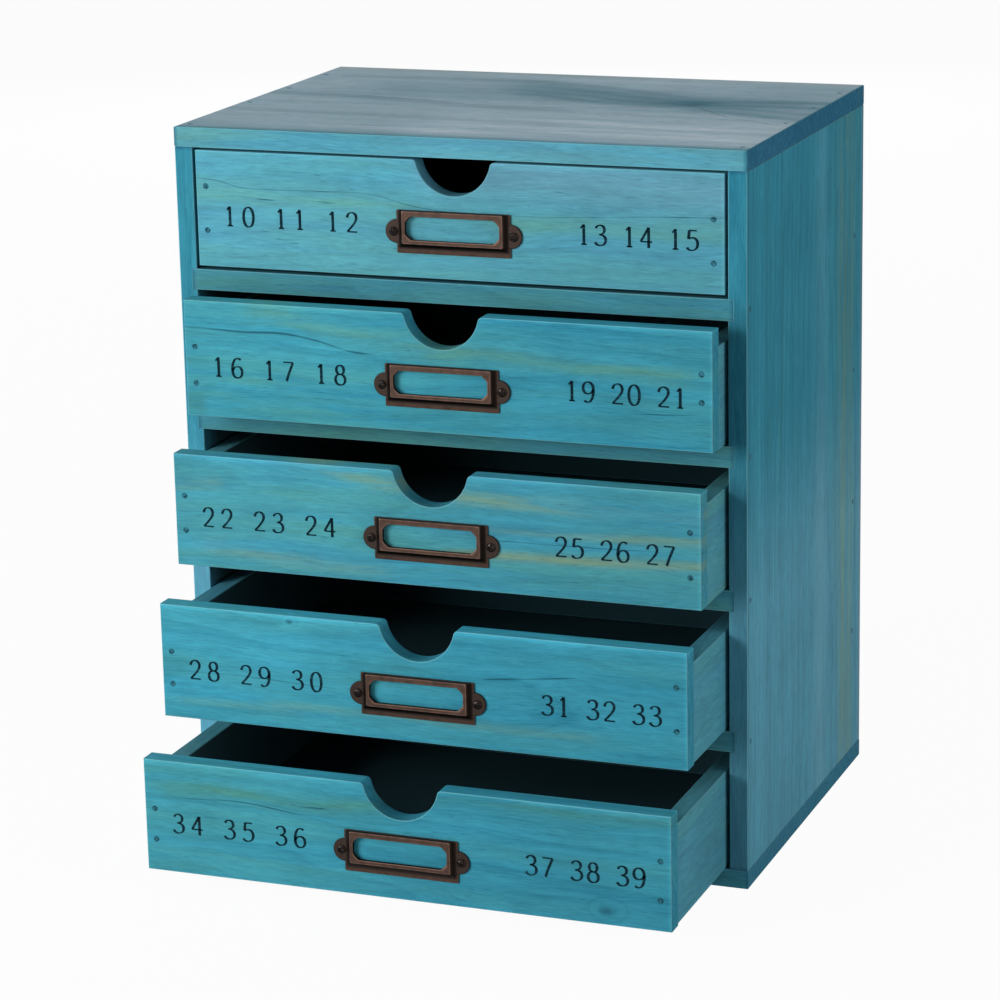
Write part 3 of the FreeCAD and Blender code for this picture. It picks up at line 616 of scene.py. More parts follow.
def slab(first: Array, second: Array, across: Array, near: Level, far: Level,
         radius: float, steps: int = 4, flat: float = 0.2 * MM) -> tuple[Surface, Array]:
    """A flat piece with eased edges between two opposite edge curves.

    Each broad face is the grid (1 - s) first + s second. The outline round it is drawn in along
    its mitre normals by r (1 - sin a) while the depth goes by r (1 - cos a), which is a quarter
    round of radius r, and the rim runs straight from one quarter round to the other.

    Args:
        first: (n, 2) points of one edge.
        second: (n, 2) points of the opposite edge.
        across: (n, m) or (m,) shares from first to second, from 0 to 1.
        near: depth of the near face as a function of u and v.
        far: depth of the far face as a function of u and v.
        radius: radius of the eased edges.
        steps: segments in each quarter round.
        flat: width of the narrow band that keeps the broad faces flat-shaded.

    Returns:
        The shell in (u, v, depth) with the values "rim" (0 on the broad faces, 1 on the rim),
        "edge" (1 at the middle of a quarter round), "side" (0 near, 1 far), and the outward
        (u, v) direction of every point of the rim.
    """
    n = len(first)
    share = np.broadcast_to(np.atleast_2d(across), (n, np.shape(across)[-1]))
    m = share.shape[1]
    grid = first[:, None] + share[..., None] * (second - first)[:, None]
    i = np.concatenate([np.arange(n), np.full(m - 1, n - 1), np.arange(n - 2, -1, -1),
                        np.zeros(m - 2, int)])
    j = np.concatenate([np.zeros(n, int), np.arange(1, m), np.full(n - 1, m - 1),
                        np.arange(m - 2, 0, -1)])
    loop = grid[i, j]
    step = np.roll(loop, -1, 0) - loop
    area = np.sum(loop[:, 0] * np.roll(loop[:, 1], -1) - loop[:, 1] * np.roll(loop[:, 0], -1))
    normal = np.stack([step[:, 1], -step[:, 0]], -1) * np.sign(area)
    normal /= np.linalg.norm(normal, axis=1, keepdims=True)
    before = np.roll(normal, 1, 0)
    mitre = (normal + before) / (1.0 + np.sum(normal * before, 1, keepdims=True))

    inner = loop - (radius + flat) * mitre
    bottom, top = inner[:n], inner[n + m - 2:2 * n + m - 2][::-1]
    grid = bottom[:, None] + share[..., None] * (top - bottom)[:, None]
    grid[i, j] = inner
    u, v = grid[..., 0].ravel(), grid[..., 1].ravel()

    turn = np.linspace(0.0, np.pi / 2, steps + 1)
    draw = radius * (1.0 - np.sin(turn))
    drop = radius * (1.0 - np.cos(turn))
    draw = np.concatenate([draw, [0.0, 0.0], draw[::-1]])
    drop = np.concatenate([drop, [radius + flat, radius + flat], drop[::-1]])
    lean = np.concatenate([turn, [np.pi / 2] * 2, turn[::-1]])
    side = np.concatenate([np.zeros(steps + 2), np.ones(steps + 2)])
    edge_at = loop - radius * mitre
    low = near(edge_at[:, 0], edge_at[:, 1])
    high = far(edge_at[:, 0], edge_at[:, 1])
    ring_uv = loop[None] - draw[:, None, None] * mitre[None]
    ring_t = np.where(side[:, None] < 0.5, low[None] + drop[:, None], high[None] - drop[:, None])
    rings = np.concatenate([ring_uv, ring_t[..., None]], -1)

    count, k, r = n * m, len(loop), len(draw)
    points = np.concatenate([np.stack([u, v, near(u, v)], -1), rings.reshape(-1, 3),
                             np.stack([u, v, far(u, v)], -1)])
    numbers = np.arange(count).reshape(n, m)
    quads = np.stack([numbers[:-1, :-1], numbers[:-1, 1:], numbers[1:, 1:], numbers[1:, :-1]],
                     -1).reshape(-1, 4)
    ring_numbers = count + np.arange(r * k).reshape(r, k)
    last = count + r * k
    chain = np.concatenate([numbers[i, j][None], ring_numbers, last + numbers[i, j][None]])
    turned = np.sign(area) < 0
    side_quads = ring_faces(chain)
    faces = [quads, side_quads, quads[:, ::-1] + last]
    rim = np.concatenate([np.zeros(count), np.repeat(np.sin(lean), k), np.zeros(count)])
    edge = np.concatenate([np.zeros(count), np.repeat(np.sin(2 * lean), k), np.zeros(count)])
    which = np.concatenate([np.zeros(count), np.repeat(side, k), np.ones(count)])
    unit = mitre / np.linalg.norm(mitre, axis=1, keepdims=True)
    out = np.concatenate([np.zeros((count, 2)), np.tile(unit, (r, 1)), np.zeros((count, 2))])
    if turned:
        faces = [block[:, ::-1] for block in faces]
    return Surface(points, faces, {"rim": rim, "edge": edge, "side": which}), out


def turned_surface(profile: Array, recess: Callable[[Array, Array, Array], Array],
                   sectors: int = 40) -> Surface:
    """A profile turned about its axis, with both ends closed at a pole.

    Each ring is (r cos t, r sin t, h - recess(x, y)), for the profile's points (r, h).

    Args:
        profile: (n, 2) radii and heights, without the poles, from the top to the bottom.
        recess: how far a point at (x, y) of the top lies below the profile.
        sectors: points round each ring.

    Returns:
        The shell, its axis along the third direction.
    """
    t = np.linspace(0.0, 2 * np.pi, sectors, endpoint=False)
    x = profile[:, :1] * np.cos(t)
    y = profile[:, :1] * np.sin(t)
    h = profile[:, 1:] - recess(x, y, profile[:, 1:] + 0 * x)
    rings = np.stack([x, y, h], -1).reshape(-1, 3)
    tips = np.array([[0, 0, profile[0, 1] - float(recess(0.0, 0.0, profile[0, 1]))],
                     [0, 0, profile[-1, 1] - 0.4 * profile[-1, 0]]])
    numbers = np.arange(len(rings)).reshape(len(profile), sectors)
    top, bottom = len(rings), len(rings) + 1
    first, last = numbers[0], numbers[-1]
    fans = np.concatenate([
        np.stack([np.full(sectors, top), np.roll(first, -1), first], -1),
        np.stack([np.full(sectors, bottom), last, np.roll(last, -1)], -1)])
    return Surface(np.concatenate([rings, tips]), [ring_faces(numbers), fans])


# ---------------------------------------------------------------------------
# Boards
# ---------------------------------------------------------------------------

@dataclass(frozen=True)
class Cut:
    """A flat-bottomed groove, housing or rebate in a broad face, in row-frame metres.

    Attributes:
        u: its lowest and highest u.
        v: its lowest and highest v.
        depth: how deep it is.
        face: NEAR or FAR.
    """

    u: Place
    v: Place
    depth: float
    face: Face

    def sunk(self, u: Array, v: Array, wall: float = CUT_WALL) -> Array:
        """How far it lies below the face: four ramps one wall wide, times the depth.

        Args:
            u: first coordinates.
            v: second coordinates.
            wall: width of the ramp at each of its four sides.

        Returns:
            The depth at each point, 0 outside the cut.
        """
        inside = (np.clip((u - self.u[0]) / wall, 0, 1) * np.clip((self.u[1] - u) / wall, 0, 1)
                  * np.clip((v - self.v[0]) / wall, 0, 1) * np.clip((self.v[1] - v) / wall, 0, 1))
        return self.depth * inside


@dataclass(frozen=True)
class Pit:
    """The small round hollow over a nail's sunk head, in row-frame metres."""

    u: float
    v: float
    face: Face
    radius: float = 1.24 * MM
    depth: float = 0.5 * MM
    wall: float = 0.22 * MM

    def share(self, u: Array, v: Array) -> Array:
        """1 at the middle, falling evenly to 0 over the wall at the radius."""
        away = np.hypot(u - self.u, v - self.v)
        return np.clip((self.radius - away) / self.wall, 0.0, 1.0)


def lines(low: float, high: float, needed: list[float], pitch: float,
          margin: float = 1.0 * MM) -> Array:
    """Grid lines: both ends, one just inside each, every needed one, and even steps between.

    Args:
        low: the first line.
        high: the last line.
        needed: lines that must be there, if they are further than the margin from the ends.
        pitch: the longest step.
        margin: room kept for the eased edge.

    Returns:
        The lines in order.
    """
    kept = [x for x in (low + EDGE_LINE, high - EDGE_LINE, *needed)
            if low + margin < x < high - margin]
    marks = np.unique(np.round(np.array([low, high, *kept]), 7))
    counts = np.maximum(1, np.ceil(np.diff(marks) / pitch)).astype(int)
    return np.concatenate([*(np.linspace(a, b, c, endpoint=False)
                             for a, b, c in zip(marks[:-1], marks[1:], counts)), [high]])


def wander(path: tuple[Place, ...], along: Array) -> Array:
    """A smooth curve through the points of a path, as a height over the length.

    Between two points it is the cubic with the slopes that np.gradient gives at both.

    Args:
        path: lengths and heights, in order.
        along: the lengths that are asked for.

    Returns:
        The heights, level beyond both ends.
    """
    x, y = np.array(path, dtype=float).T
    slope = np.gradient(y, x)
    i = np.clip(np.searchsorted(x, along) - 1, 0, len(x) - 2)
    run = x[i + 1] - x[i]
    t = np.clip((along - x[i]) / run, 0.0, 1.0)
    return ((2 * t ** 3 - 3 * t ** 2 + 1) * y[i] + (t ** 3 - 2 * t ** 2 + t) * run * slope[i]
            + (3 * t ** 2 - 2 * t ** 3) * y[i + 1] + (t ** 3 - t ** 2) * run * slope[i + 1])


@dataclass(frozen=True)
class Streak:
    """A soft band of other colour, for stain that took differently and for painted light and
    shade.

    Attributes:
        path: points along the grain and across it, in mm from the board's lowest corner.
        half: half width in mm.
        light: added brightness.
        green: added green.
        brown: added olive brown.
        grey: added greyness, which also paints sheen.
        fade: length over which its ends fade, in mm.
    """

    path: tuple[Place, ...]
    half: float
    light: float = 0.0
    green: float = 0.0
    brown: float = 0.0
    grey: float = 0.0
    fade: float = 18.0

    def share(self, along: Array, across: Array) -> Array:
        """How strong it is: exp(-d^2) across it, times a smooth rise and fall at its ends.

        Args:
            along: places along the grain in mm.
            across: places across the grain in mm.

        Returns:
            The share at each place, from 0 to 1.
        """
        away = (across - wander(self.path, along)) / self.half
        start, stop = self.path[0][0], self.path[-1][0]
        return (np.exp(-away ** 2) * smooth_step(along, start - self.fade, start + 1e-6)
                * (1.0 - smooth_step(along, stop, stop + self.fade)))


@dataclass(frozen=True)
class Vein:
    """A dark ring line or fine crack along the grain, thinned to nothing at both ends.

    Attributes:
        path: points along the grain and across it, in mm from the board's lowest corner.
        half: half width in mm.
        taper: length over which its ends thin out, in mm.
    """

    path: tuple[Place, ...]
    half: float = 0.35
    taper: float = 14.0

    def away(self, along: Array, across: Array) -> Array:
        """Signed distance across from the line, counted in its half widths there.

        Args:
            along: places along the grain in mm.
            across: places across the grain in mm.

        Returns:
            The distance at each place, within the reach on both sides.
        """
        start, stop = self.path[0][0], self.path[-1][0]
        room = np.minimum(along - start, stop - along) + self.taper / 2
        width = self.half * (0.02 + smooth_step(room, 0.0, self.taper))
        return np.clip((across - wander(self.path, along)) / width, -OUT_OF_REACH, OUT_OF_REACH)


@dataclass
class Board:
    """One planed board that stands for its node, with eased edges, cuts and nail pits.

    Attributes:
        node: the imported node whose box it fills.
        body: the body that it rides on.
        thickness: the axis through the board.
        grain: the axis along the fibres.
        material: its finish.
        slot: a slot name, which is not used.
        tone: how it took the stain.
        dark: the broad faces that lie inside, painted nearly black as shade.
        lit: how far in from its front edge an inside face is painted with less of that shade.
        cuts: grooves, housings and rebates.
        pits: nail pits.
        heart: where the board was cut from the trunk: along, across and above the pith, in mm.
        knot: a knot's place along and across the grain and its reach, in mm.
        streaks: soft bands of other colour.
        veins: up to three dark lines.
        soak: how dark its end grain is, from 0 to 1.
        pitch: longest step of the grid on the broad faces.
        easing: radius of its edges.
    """

    node: str
    body: str
    thickness: Axis
    grain: Axis
    material: bpy.types.Material
    slot: str = "stained_pine"
    tone: Tone = Tone()
    dark: Face = Face.NONE
    lit: float = 0.0
    cuts: list[Cut] = field(default_factory=list)
    pits: list[Pit] = field(default_factory=list)
    heart: tuple[float, float, float] = (0.0, 6.0, 34.0)
    knot: tuple[float, float, float] | None = None
    streaks: tuple[Streak, ...] = ()
    veins: tuple[Vein, ...] = ()
    soak: float = 0.9
    pitch: float = 12 * MM
    easing: float = 0.45 * MM

    def __post_init__(self) -> None:
        """Reads the node's box and sorts out which axes are u, v, depth and across the grain."""
        low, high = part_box(self.node)
        self.low, self.high = np.array(low), np.array(high)
        self.axes = [a for a in range(3) if a != self.thickness.value] + [self.thickness.value]
        self.cross = next(a for a in self.axes[:2] if a != self.grain.value)

    def depth(self, face: Face, u: Array, v: Array) -> Array:
        """Where a broad face lies: the box's face, less every cut and pit in it.

        Args:
            face: NEAR or FAR.
            u: first coordinates.
            v: second coordinates.

        Returns:
            The coordinate along the thickness.
        """
        sunk = np.zeros_like(u)
        for cut in self.cuts:
            if cut.face is face:
                sunk = np.maximum(sunk, cut.sunk(u, v))
        for pit in self.pits:
            if pit.face is face:
                sunk = np.maximum(sunk, pit.depth * pit.share(u, v))
        t = self.thickness.value
        return self.low[t] + sunk if face is Face.NEAR else self.high[t] - sunk

    def grid_lines(self) -> tuple[Array, Array]:
        """Lines across both directions, close together at pits and doubled at cuts.

        Returns:
            The u lines and the v lines.
        """
        spread = np.linspace(-1.0, 1.0, 11)
        needed: list[list[float]] = [[], []]
        for pit in self.pits:
            for side, centre in enumerate((pit.u, pit.v)):
                needed[side] += [*(centre + spread * (pit.radius + 0.1 * MM)),
                                 *(centre + np.array([-1, 1]) * (pit.radius + 0.5 * MM))]
        for cut in self.cuts:
            for side, ends in enumerate((cut.u, cut.v)):
                needed[side] += [ends[0], ends[0] + CUT_WALL, ends[1] - CUT_WALL, ends[1]]
        a, b = self.axes[:2]
        return (lines(self.low[a], self.high[a], needed[0], self.pitch),
                lines(self.low[b], self.high[b], needed[1], self.pitch))

    def edges(self) -> tuple[Array, Array, Array]:
        """The two opposite edge curves and the shares between them, for a rectangle.

        Returns:
            First edge, second edge, and shares.
        """
        u, v = self.grid_lines()
        first = np.stack([u, np.full_like(u, v[0])], -1)
        second = np.stack([u, np.full_like(u, v[-1])], -1)
        return first, second, (v - v[0]) / (v[-1] - v[0])

    def wear(self, values: dict[str, Array], out: Array, y: Array) -> Array:
        """Where the board is end grain, where shade is painted inside, and where its edges are.

        End grain is the rim times how far it faces along the fibres. The painted shade rises from
        0.35 of itself at the front edge of a lit board to the whole of itself where the light
        ends.

        Args:
            values: the slab's rim, edge and side.
            out: the outward (u, v) direction of every point of the rim.
            y: depths in the row frame.

        Returns:
            End grain, painted inside shade and edge for every point, from 0 to 1.
        """
        end = values["rim"] * np.abs(out[:, self.axes.index(self.grain.value)]) * self.soak
        flat = 1.0 - values["rim"]
        inside_shade = {Face.NONE: 0.0 * flat, Face.BOTH: flat, Face.NEAR: flat * (values["side"] < 0.5),
                Face.FAR: flat * (values["side"] > 0.5)}[self.dark]
        if self.lit:
            inside_shade = inside_shade * (0.35 + 0.65 * smooth_step(y - self.low[1], 0.0, self.lit))
        return np.stack([end, inside_shade, values["edge"]], -1)

    def pitted(self, values: dict[str, Array], u: Array, v: Array) -> Array:
        """Where the nail pits are, each on its own broad face.

        Args:
            values: the slab's side.
            u: first coordinates.
            v: second coordinates.

        Returns:
            The share of every point, 1 inside a pit.
        """
        share = np.zeros_like(u)
        for pit in self.pits:
            level = values["side"] > 0.5 if pit.face is Face.FAR else values["side"] < 0.5
            share = np.maximum(share, smooth_step(pit.share(u, v), 0.0, 0.6) * level)
        return share

    def figure(self, place: Array) -> dict[str, Array]:
        """The board's grain, and what is drawn along it: tone, brown, dark lines and knot.

        Args:
            place: points in the row frame.

        Returns:
            The values by name: the place in the trunk, the tone with every streak added, the
            brown, the distances from the dark lines, and the place about the knot.
        """
        fibres, other, through = self.grain.value, self.cross, self.thickness.value
        centred = place - (self.low + self.high) / 2
        along = (place[:, fibres] - self.low[fibres]) / MM
        across = (place[:, other] - self.low[other]) / MM
        knot = np.full_like(place, 1.0)
        if self.knot:
            x, y, reach = self.knot
            knot = np.stack([along - x, across - y, np.zeros_like(along)], -1) * (10 * MM / reach)
        tone = np.tile([self.tone.light, self.tone.green, self.tone.grey], (len(place), 1))
        brown = np.zeros_like(along)
        for streak in self.streaks:
            share = streak.share(along, across)
            tone += share[:, None] * (streak.light, streak.green, streak.grey)
            brown += share * streak.brown
        vein = np.full_like(place, OUT_OF_REACH)
        for column, line in enumerate(self.veins):
            vein[:, column] = line.away(along, across)
        return {"grain": centred[:, [fibres, other, through]] + np.array(self.heart) * MM,
                "tone": np.clip(tone, 0.0, 2.0), "brown": brown, "vein": vein, "knot": knot}

    def build(self) -> bpy.types.Object:
        """Works out the board's surface and the values that its finish reads.

        Returns:
            The finished piece.
        """
        first, second, shares = self.edges()
        shell, out = slab(first, second, shares,
                          lambda u, v: self.depth(Face.NEAR, u, v),
                          lambda u, v: self.depth(Face.FAR, u, v), self.easing)
        u, v, _ = shell.points.T
        place = np.empty_like(shell.points)
        place[:, self.axes] = shell.points
        shell.points = place
        shell.values = {"wear": self.wear(shell.values, out, place[:, 1]),
                        "pit": self.pitted(shell.values, u, v), **self.figure(place)}
        return make_piece(f"{self.node}_board", shell.outward(), self.material, self.body,
                          (self.node,))


@dataclass
class NotchedBoard(Board):
    """A drawer front: a board whose top edge dips in a half-round finger notch.

    Attributes:
        notch_radius: radius of the notch.
        notch_rise: how far its centre lies above the top edge.
        mouth_rounding: radius where the notch meets the top edge.
        lower_band: height below which the grid's rows stay level.
        bent_half: how far from the middle the grid's columns lean towards the notch.
        fan: length along the bottom edge for each length along the notch.
    """

    notch_radius: float = 16.5 * MM
    notch_rise: float = 2.0 * MM
    mouth_rounding: float = 2.0 * MM
    lower_band: float = 10.0 * MM
    bent_half: float = 38.0 * MM
    fan: float = 1.05

    def notch(self) -> tuple[Array, Array]:
        """Half of the notch from its lowest point outwards, as arcs.

        The notch is a circle of radius R about a centre above the top edge. The mouth is an arc
        of radius q about a point R + q from that centre and q below the edge.

        Returns:
            The x from the middle and the drop below the top edge.
        """
        big, small = self.notch_radius, self.mouth_rounding
        lean = math.asin((self.notch_rise + small) / (big + small))
        t = np.linspace(0.0, np.pi / 2 - lean, 30)
        x, drop = big * np.sin(t), big * np.cos(t) - self.notch_rise
        s = np.linspace(np.pi / 2 - lean, 0.0, 8)[1:]
        centre = (big + small) * math.cos(lean)
        return (np.concatenate([x, centre - small * np.sin(s)]),
                np.concatenate([drop, small - small * np.cos(s)]))

    def edges(self) -> tuple[Array, Array, Array]:
        """The straight bottom edge, the notched top edge, and the shares between them.

        Columns fan out below the notch: a point at length l along the notch comes from the
        bottom edge at the fan times l. Rows are level up to the lower band, and above it they keep
        their share of the height that is left under the notch.

        Returns:
            First edge, second edge, and shares for every column and row.
        """
        u, v = self.grid_lines()
        middle = (self.low[0] + self.high[0]) / 2
        x, drop = self.notch()
        run = np.concatenate([[0.0], np.cumsum(np.hypot(np.diff(x), np.diff(drop)))])
        foot = self.fan * run
        clear = self.bent_half
        outer = lines(x[-1], clear, [], 5 * MM, 0.0)[1:]
        foot = np.concatenate([foot, np.interp(outer, [x[-1], clear], [foot[-1], clear])])
        x = np.concatenate([x, outer])
        drop = np.concatenate([drop, np.zeros(len(outer))])
        x = np.concatenate([-x[:0:-1], x])
        foot = np.concatenate([-foot[:0:-1], foot])
        drop = np.concatenate([drop[:0:-1], drop])
        side = u[np.abs(u - middle) > clear + 1 * MM]
        left, right = side[side < middle], side[side > middle]
        top_x = np.concatenate([left, middle + x, right])
        foot_x = np.concatenate([left, middle + foot, right])
        top_z = np.full(len(top_x), v[-1])
        top_z[len(left):len(left) + len(x)] -= drop
        first = np.stack([foot_x, np.full(len(foot_x), v[0])], -1)
        second = np.stack([top_x, top_z], -1)
        rise, full = v - v[0], v[-1] - v[0]
        tall = (top_z - v[0])[:, None]
        band = self.lower_band
        level = np.where(rise <= band, rise,
                         band + (rise - band) * (tall - band) / (full - band))
        return first, second, level / tall


# ---------------------------------------------------------------------------
# Fittings
# ---------------------------------------------------------------------------

@dataclass
class LabelHolder:
    """A pressed label holder: a raised frame on a skirt, with a half-round ear at each end.

    Sizes are in millimetres; heights are above the drawer front, and z is above its bottom. The
    flange is how far the flat skirt starts inside the outline: beside, below and above.
    """

    drawer: int
    material: bpy.types.Material
    half_width: float = 25.0
    bottom: float = 10.3
    top: float = 28.3
    face_half: float = 22.1
    face_bottom: float = 14.4
    face_top: float = 28.1
    window_half: float = 20.6
    window_bottom: float = 16.1
    window_top: float = 25.9
    height: float = 2.5
    sheet: float = 0.8
    ear_radius: float = 5.0
    ear_height: float = 19.3
    ear_overlap: float = 1.7
    flange: tuple[float, float, float] = (0.7, 2.3, 0.12)

    def ring_table(self) -> Array:
        """The frame's section as rings from the window outwards, down and back underneath.

        Returns:
            Rows of half width, bottom, top, corner size, corner power, height and ridge.
        """
        w = (self.window_half, self.window_bottom, self.window_top)
        f = (self.face_half, self.face_bottom, self.face_top)
        o = (self.half_width, self.bottom, self.top)
        h, s = self.height, self.sheet

        def between(p: tuple, q: tuple, share: float, corner: float, power: float,
                    height: float, ridge: float) -> list[float]:
            """A ring at a share of the way between two outlines."""
            return [*(a + (b - a) * share for a, b in zip(p, q)), corner, power, height, ridge]

        beside, below, above = self.flange
        flange = (self.half_width - beside, self.bottom + below, self.top - above)
        # The ridge column also paints light: shade on the window wall, slopes and underside,
        # highlights on the edges.
        return np.array([
            between(w, f, 0.00, 2.7, 1.2, 1.3 * s, -1.0),
            between(w, f, 0.00, 2.7, 1.2, h - 0.35, -0.9),
            between(w, f, 0.05, 2.7, 1.2, h - 0.08, 0.9),
            between(w, f, 0.16, 2.7, 1.2, h, 0.5),
            between(w, f, 0.40, 2.0, 1.2, h - 0.06, 0.2),
            between(w, f, 0.80, 0.9, 2.0, h - 0.02, 0.3),
            between(w, f, 0.93, 0.6, 2.0, h - 0.02, 1.0),
            between(w, f, 1.00, 0.5, 2.0, h - 0.16, 0.4),
            between(f, flange, 0.10, 0.5, 2.0, h - 0.55, -0.6),
            between(f, flange, 0.40, 0.5, 2.0, s + 0.62, -1.0),
            between(f, flange, 0.70, 0.5, 2.0, s + 0.2, -0.8),
            between(f, flange, 1.00, 0.5, 2.0, s, -0.3),
            between(flange, o, 0.25, 0.5, 2.0, s - 0.01, 0.1),
            between(flange, o, 0.70, 0.5, 2.0, s - 0.04, 0.3),
            between(flange, o, 1.00, 0.5, 2.0, s - 0.22, 0.4),
            between(flange, o, 1.00, 0.5, 2.0, 0.0, -0.5),
            between(f, flange, 0.75, 0.5, 2.0, 0.0, -1.0),
            between(f, flange, 0.10, 0.5, 2.0, h - s - 0.3, -1.0),
            between(w, f, 0.70, 1.2, 2.0, h - s, -1.0)])

    def frame_shell(self) -> Surface:
        """Carries the section round the window as closed rings.

        A ring's point is (a (w - c) + b c, a' (h - c) + b' c): a runs along the straight sides
        and b is a corner curve |cos t|^(2/p), round for power 2 and a straight chamfer for 1.

        Returns:
            The frame in x, z and height, in millimetres.
        """
        table = self.ring_table()
        t = np.linspace(0.0, np.pi / 2, 9)
        along = np.linspace(-1.0, 1.0, 13)[1:-1]
        one, none, zero = np.ones_like(t), np.ones_like(along), np.zeros_like(along)
        # Corner, then the side after it, four times round.
        a = np.concatenate([one, -along, -one, -none, -one, along, one, none])
        az = np.concatenate([one, none, one, -along, -one, -none, -one, along])
        power = (2.0 / table[:, 4])[:, None]
        c, s = np.cos(t)[None].clip(0, 1) ** power, np.sin(t)[None].clip(0, 1) ** power
        n, z = np.tile(none, (len(table), 1)), np.tile(zero, (len(table), 1))
        b = np.concatenate([c, z, -s, -n, -c, z, s, n], 1)
        bz = np.concatenate([s, n, c, z, -s, -n, -c, z], 1)
        corner = table[:, 3:4]
        half_z = (table[:, 2:3] - table[:, 1:2]) / 2
        x = a * (table[:, :1] - corner) + b * corner
        up = (table[:, 1:2] + table[:, 2:3]) / 2 + az * (half_z - corner) + bz * corner
        points = np.stack([x, up, np.broadcast_to(table[:, 5:6], x.shape)], -1)
        r, k = x.shape
        numbers = np.arange(r * k).reshape(r, k)
        return Surface(points.reshape(-1, 3),
                       [ring_faces(np.concatenate([numbers, numbers[:1]]))],
                       {"ridge": np.repeat(table[:, 6], k)})

    def ear_shell(self, hand: float) -> Surface:
        """A half-round ear: straight under the skirt, an arc of the ear's radius outside.

        Args:
            hand: 1 for the right ear, -1 for the left.

        Returns:
            The ear in x, z and height, in millimetres.
        """
        t = np.linspace(-np.pi / 2, np.pi / 2, 29)
        up = self.ear_height + self.ear_radius * np.sin(t)
        root = np.stack([np.full_like(t, hand * (self.half_width - self.ear_overlap)),
                         up], -1)
        arc = np.stack([hand * (self.half_width + self.ear_radius * np.cos(t)), up], -1)
        shell, _ = slab(root, arc, np.linspace(0, 1, 8), lambda u, v: 0.0 * u,
                        lambda u, v: 0.0 * u + self.sheet, 0.26, 4, 0.12)
        value = shell.values
        # The ear's rim and eased edges are painted dark, as a thin shade round it.
        ridge = 0.05 * (1 - value["rim"]) * value["side"] - 0.5 * value["edge"] - 0.5 * (
            value["rim"] > 0.99)
        return Surface(shell.points, shell.faces, {"ridge": ridge})

    def build(self) -> bpy.types.Object:
        """Joins the frame and its ears and sets them on the drawer front.

        Returns:
            The finished piece.
        """
        front = f"drawer_{self.drawer}_front"
        low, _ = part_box(front)
        parts = [self.frame_shell(), self.ear_shell(1.0), self.ear_shell(-1.0)]
        for part in parts:
            x, z, height = part.points.T * MM
            part.points = np.stack([x, low.y - height, low.z + z], -1)
            part.outward()
        return make_piece(f"drawer_{self.drawer}_holder_plate", Surface.joined(parts),
                          self.material, f"drawer_{self.drawer}",
                          (f"drawer_{self.drawer}_label_holder",))


@dataclass
class LabelScrews:
    """The two small raised-head screws with a cross recess that hold a label holder.

    Sizes are in millimetres. The cross's half width and half length are given where its soft
    wall starts and where it ends.
    """

    drawer: int
    material: bpy.types.Material
    apart: float = 52.8
    above_bottom: float = 19.3
    seat: float = 0.8
    head_radius: float = 1.9
    head_height: float = 1.1
    shank_radius: float = 0.9
    length: float = 6.5
    turns: tuple[float, float] = (0.6, 1.15)
    cross_half_width: Place = (0.18, 0.34)
    cross_half_length: Place = (0.8, 1.15)
    cross_depth: float = 0.6

    def recess(self, x: Array, y: Array, h: Array) -> Array:
        """Depth of the cross: two crossed bars with soft walls, sunk in the dome only.

        Args:
            x: places across the head in mm.
            y: places up the head in mm.
            h: heights of the head's own surface in mm.

        Returns:
            How far each point is sunk, 0 below the dome.
        """
        def bar(p: Array, q: Array) -> Array:
            """One bar of the cross."""
            return ((1 - smooth_step(np.abs(p), *self.cross_half_width))
                    * (1 - smooth_step(np.abs(q), *self.cross_half_length)))
        top = smooth_step(h, self.seat + 0.3, self.seat + 0.5)
        return self.cross_depth * np.maximum(bar(x, y), bar(y, x)) * top

    def build(self) -> bpy.types.Object:
        """Turns the two screws and sets them through the ears.

        Returns:
            The finished piece.
        """
        low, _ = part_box(f"drawer_{self.drawer}_front")
        r = np.linspace(0.06, 1.0, 16) * self.head_radius
        dome = self.seat + self.head_height * np.sqrt(1 - (r / (1.06 * self.head_radius)) ** 2)
        profile = np.concatenate([
            np.stack([r, dome], -1),
            [[self.head_radius, self.seat + 0.12], [self.head_radius - 0.1, self.seat],
             [self.shank_radius, self.seat], [self.shank_radius, self.seat - 0.85 * self.length],
             [0.45 * self.shank_radius, self.seat - 0.96 * self.length]]])
        parts = []
        for hand, turn in zip((-1, 1), self.turns):
            shell = turned_surface(profile, self.recess)
            x, z, h = shell.points.T
            c, s = math.cos(turn), math.sin(turn)
            shell.points = np.stack([
                (c * x - s * z + hand * self.apart / 2) * MM, low.y - h * MM,
                low.z + (s * x + c * z + self.above_bottom) * MM], -1)
            parts.append(shell.outward())
        return make_piece(f"drawer_{self.drawer}_holder_screws", Surface.joined(parts),
                          self.material, f"drawer_{self.drawer}",
                          (f"drawer_{self.drawer}_label_screws",))


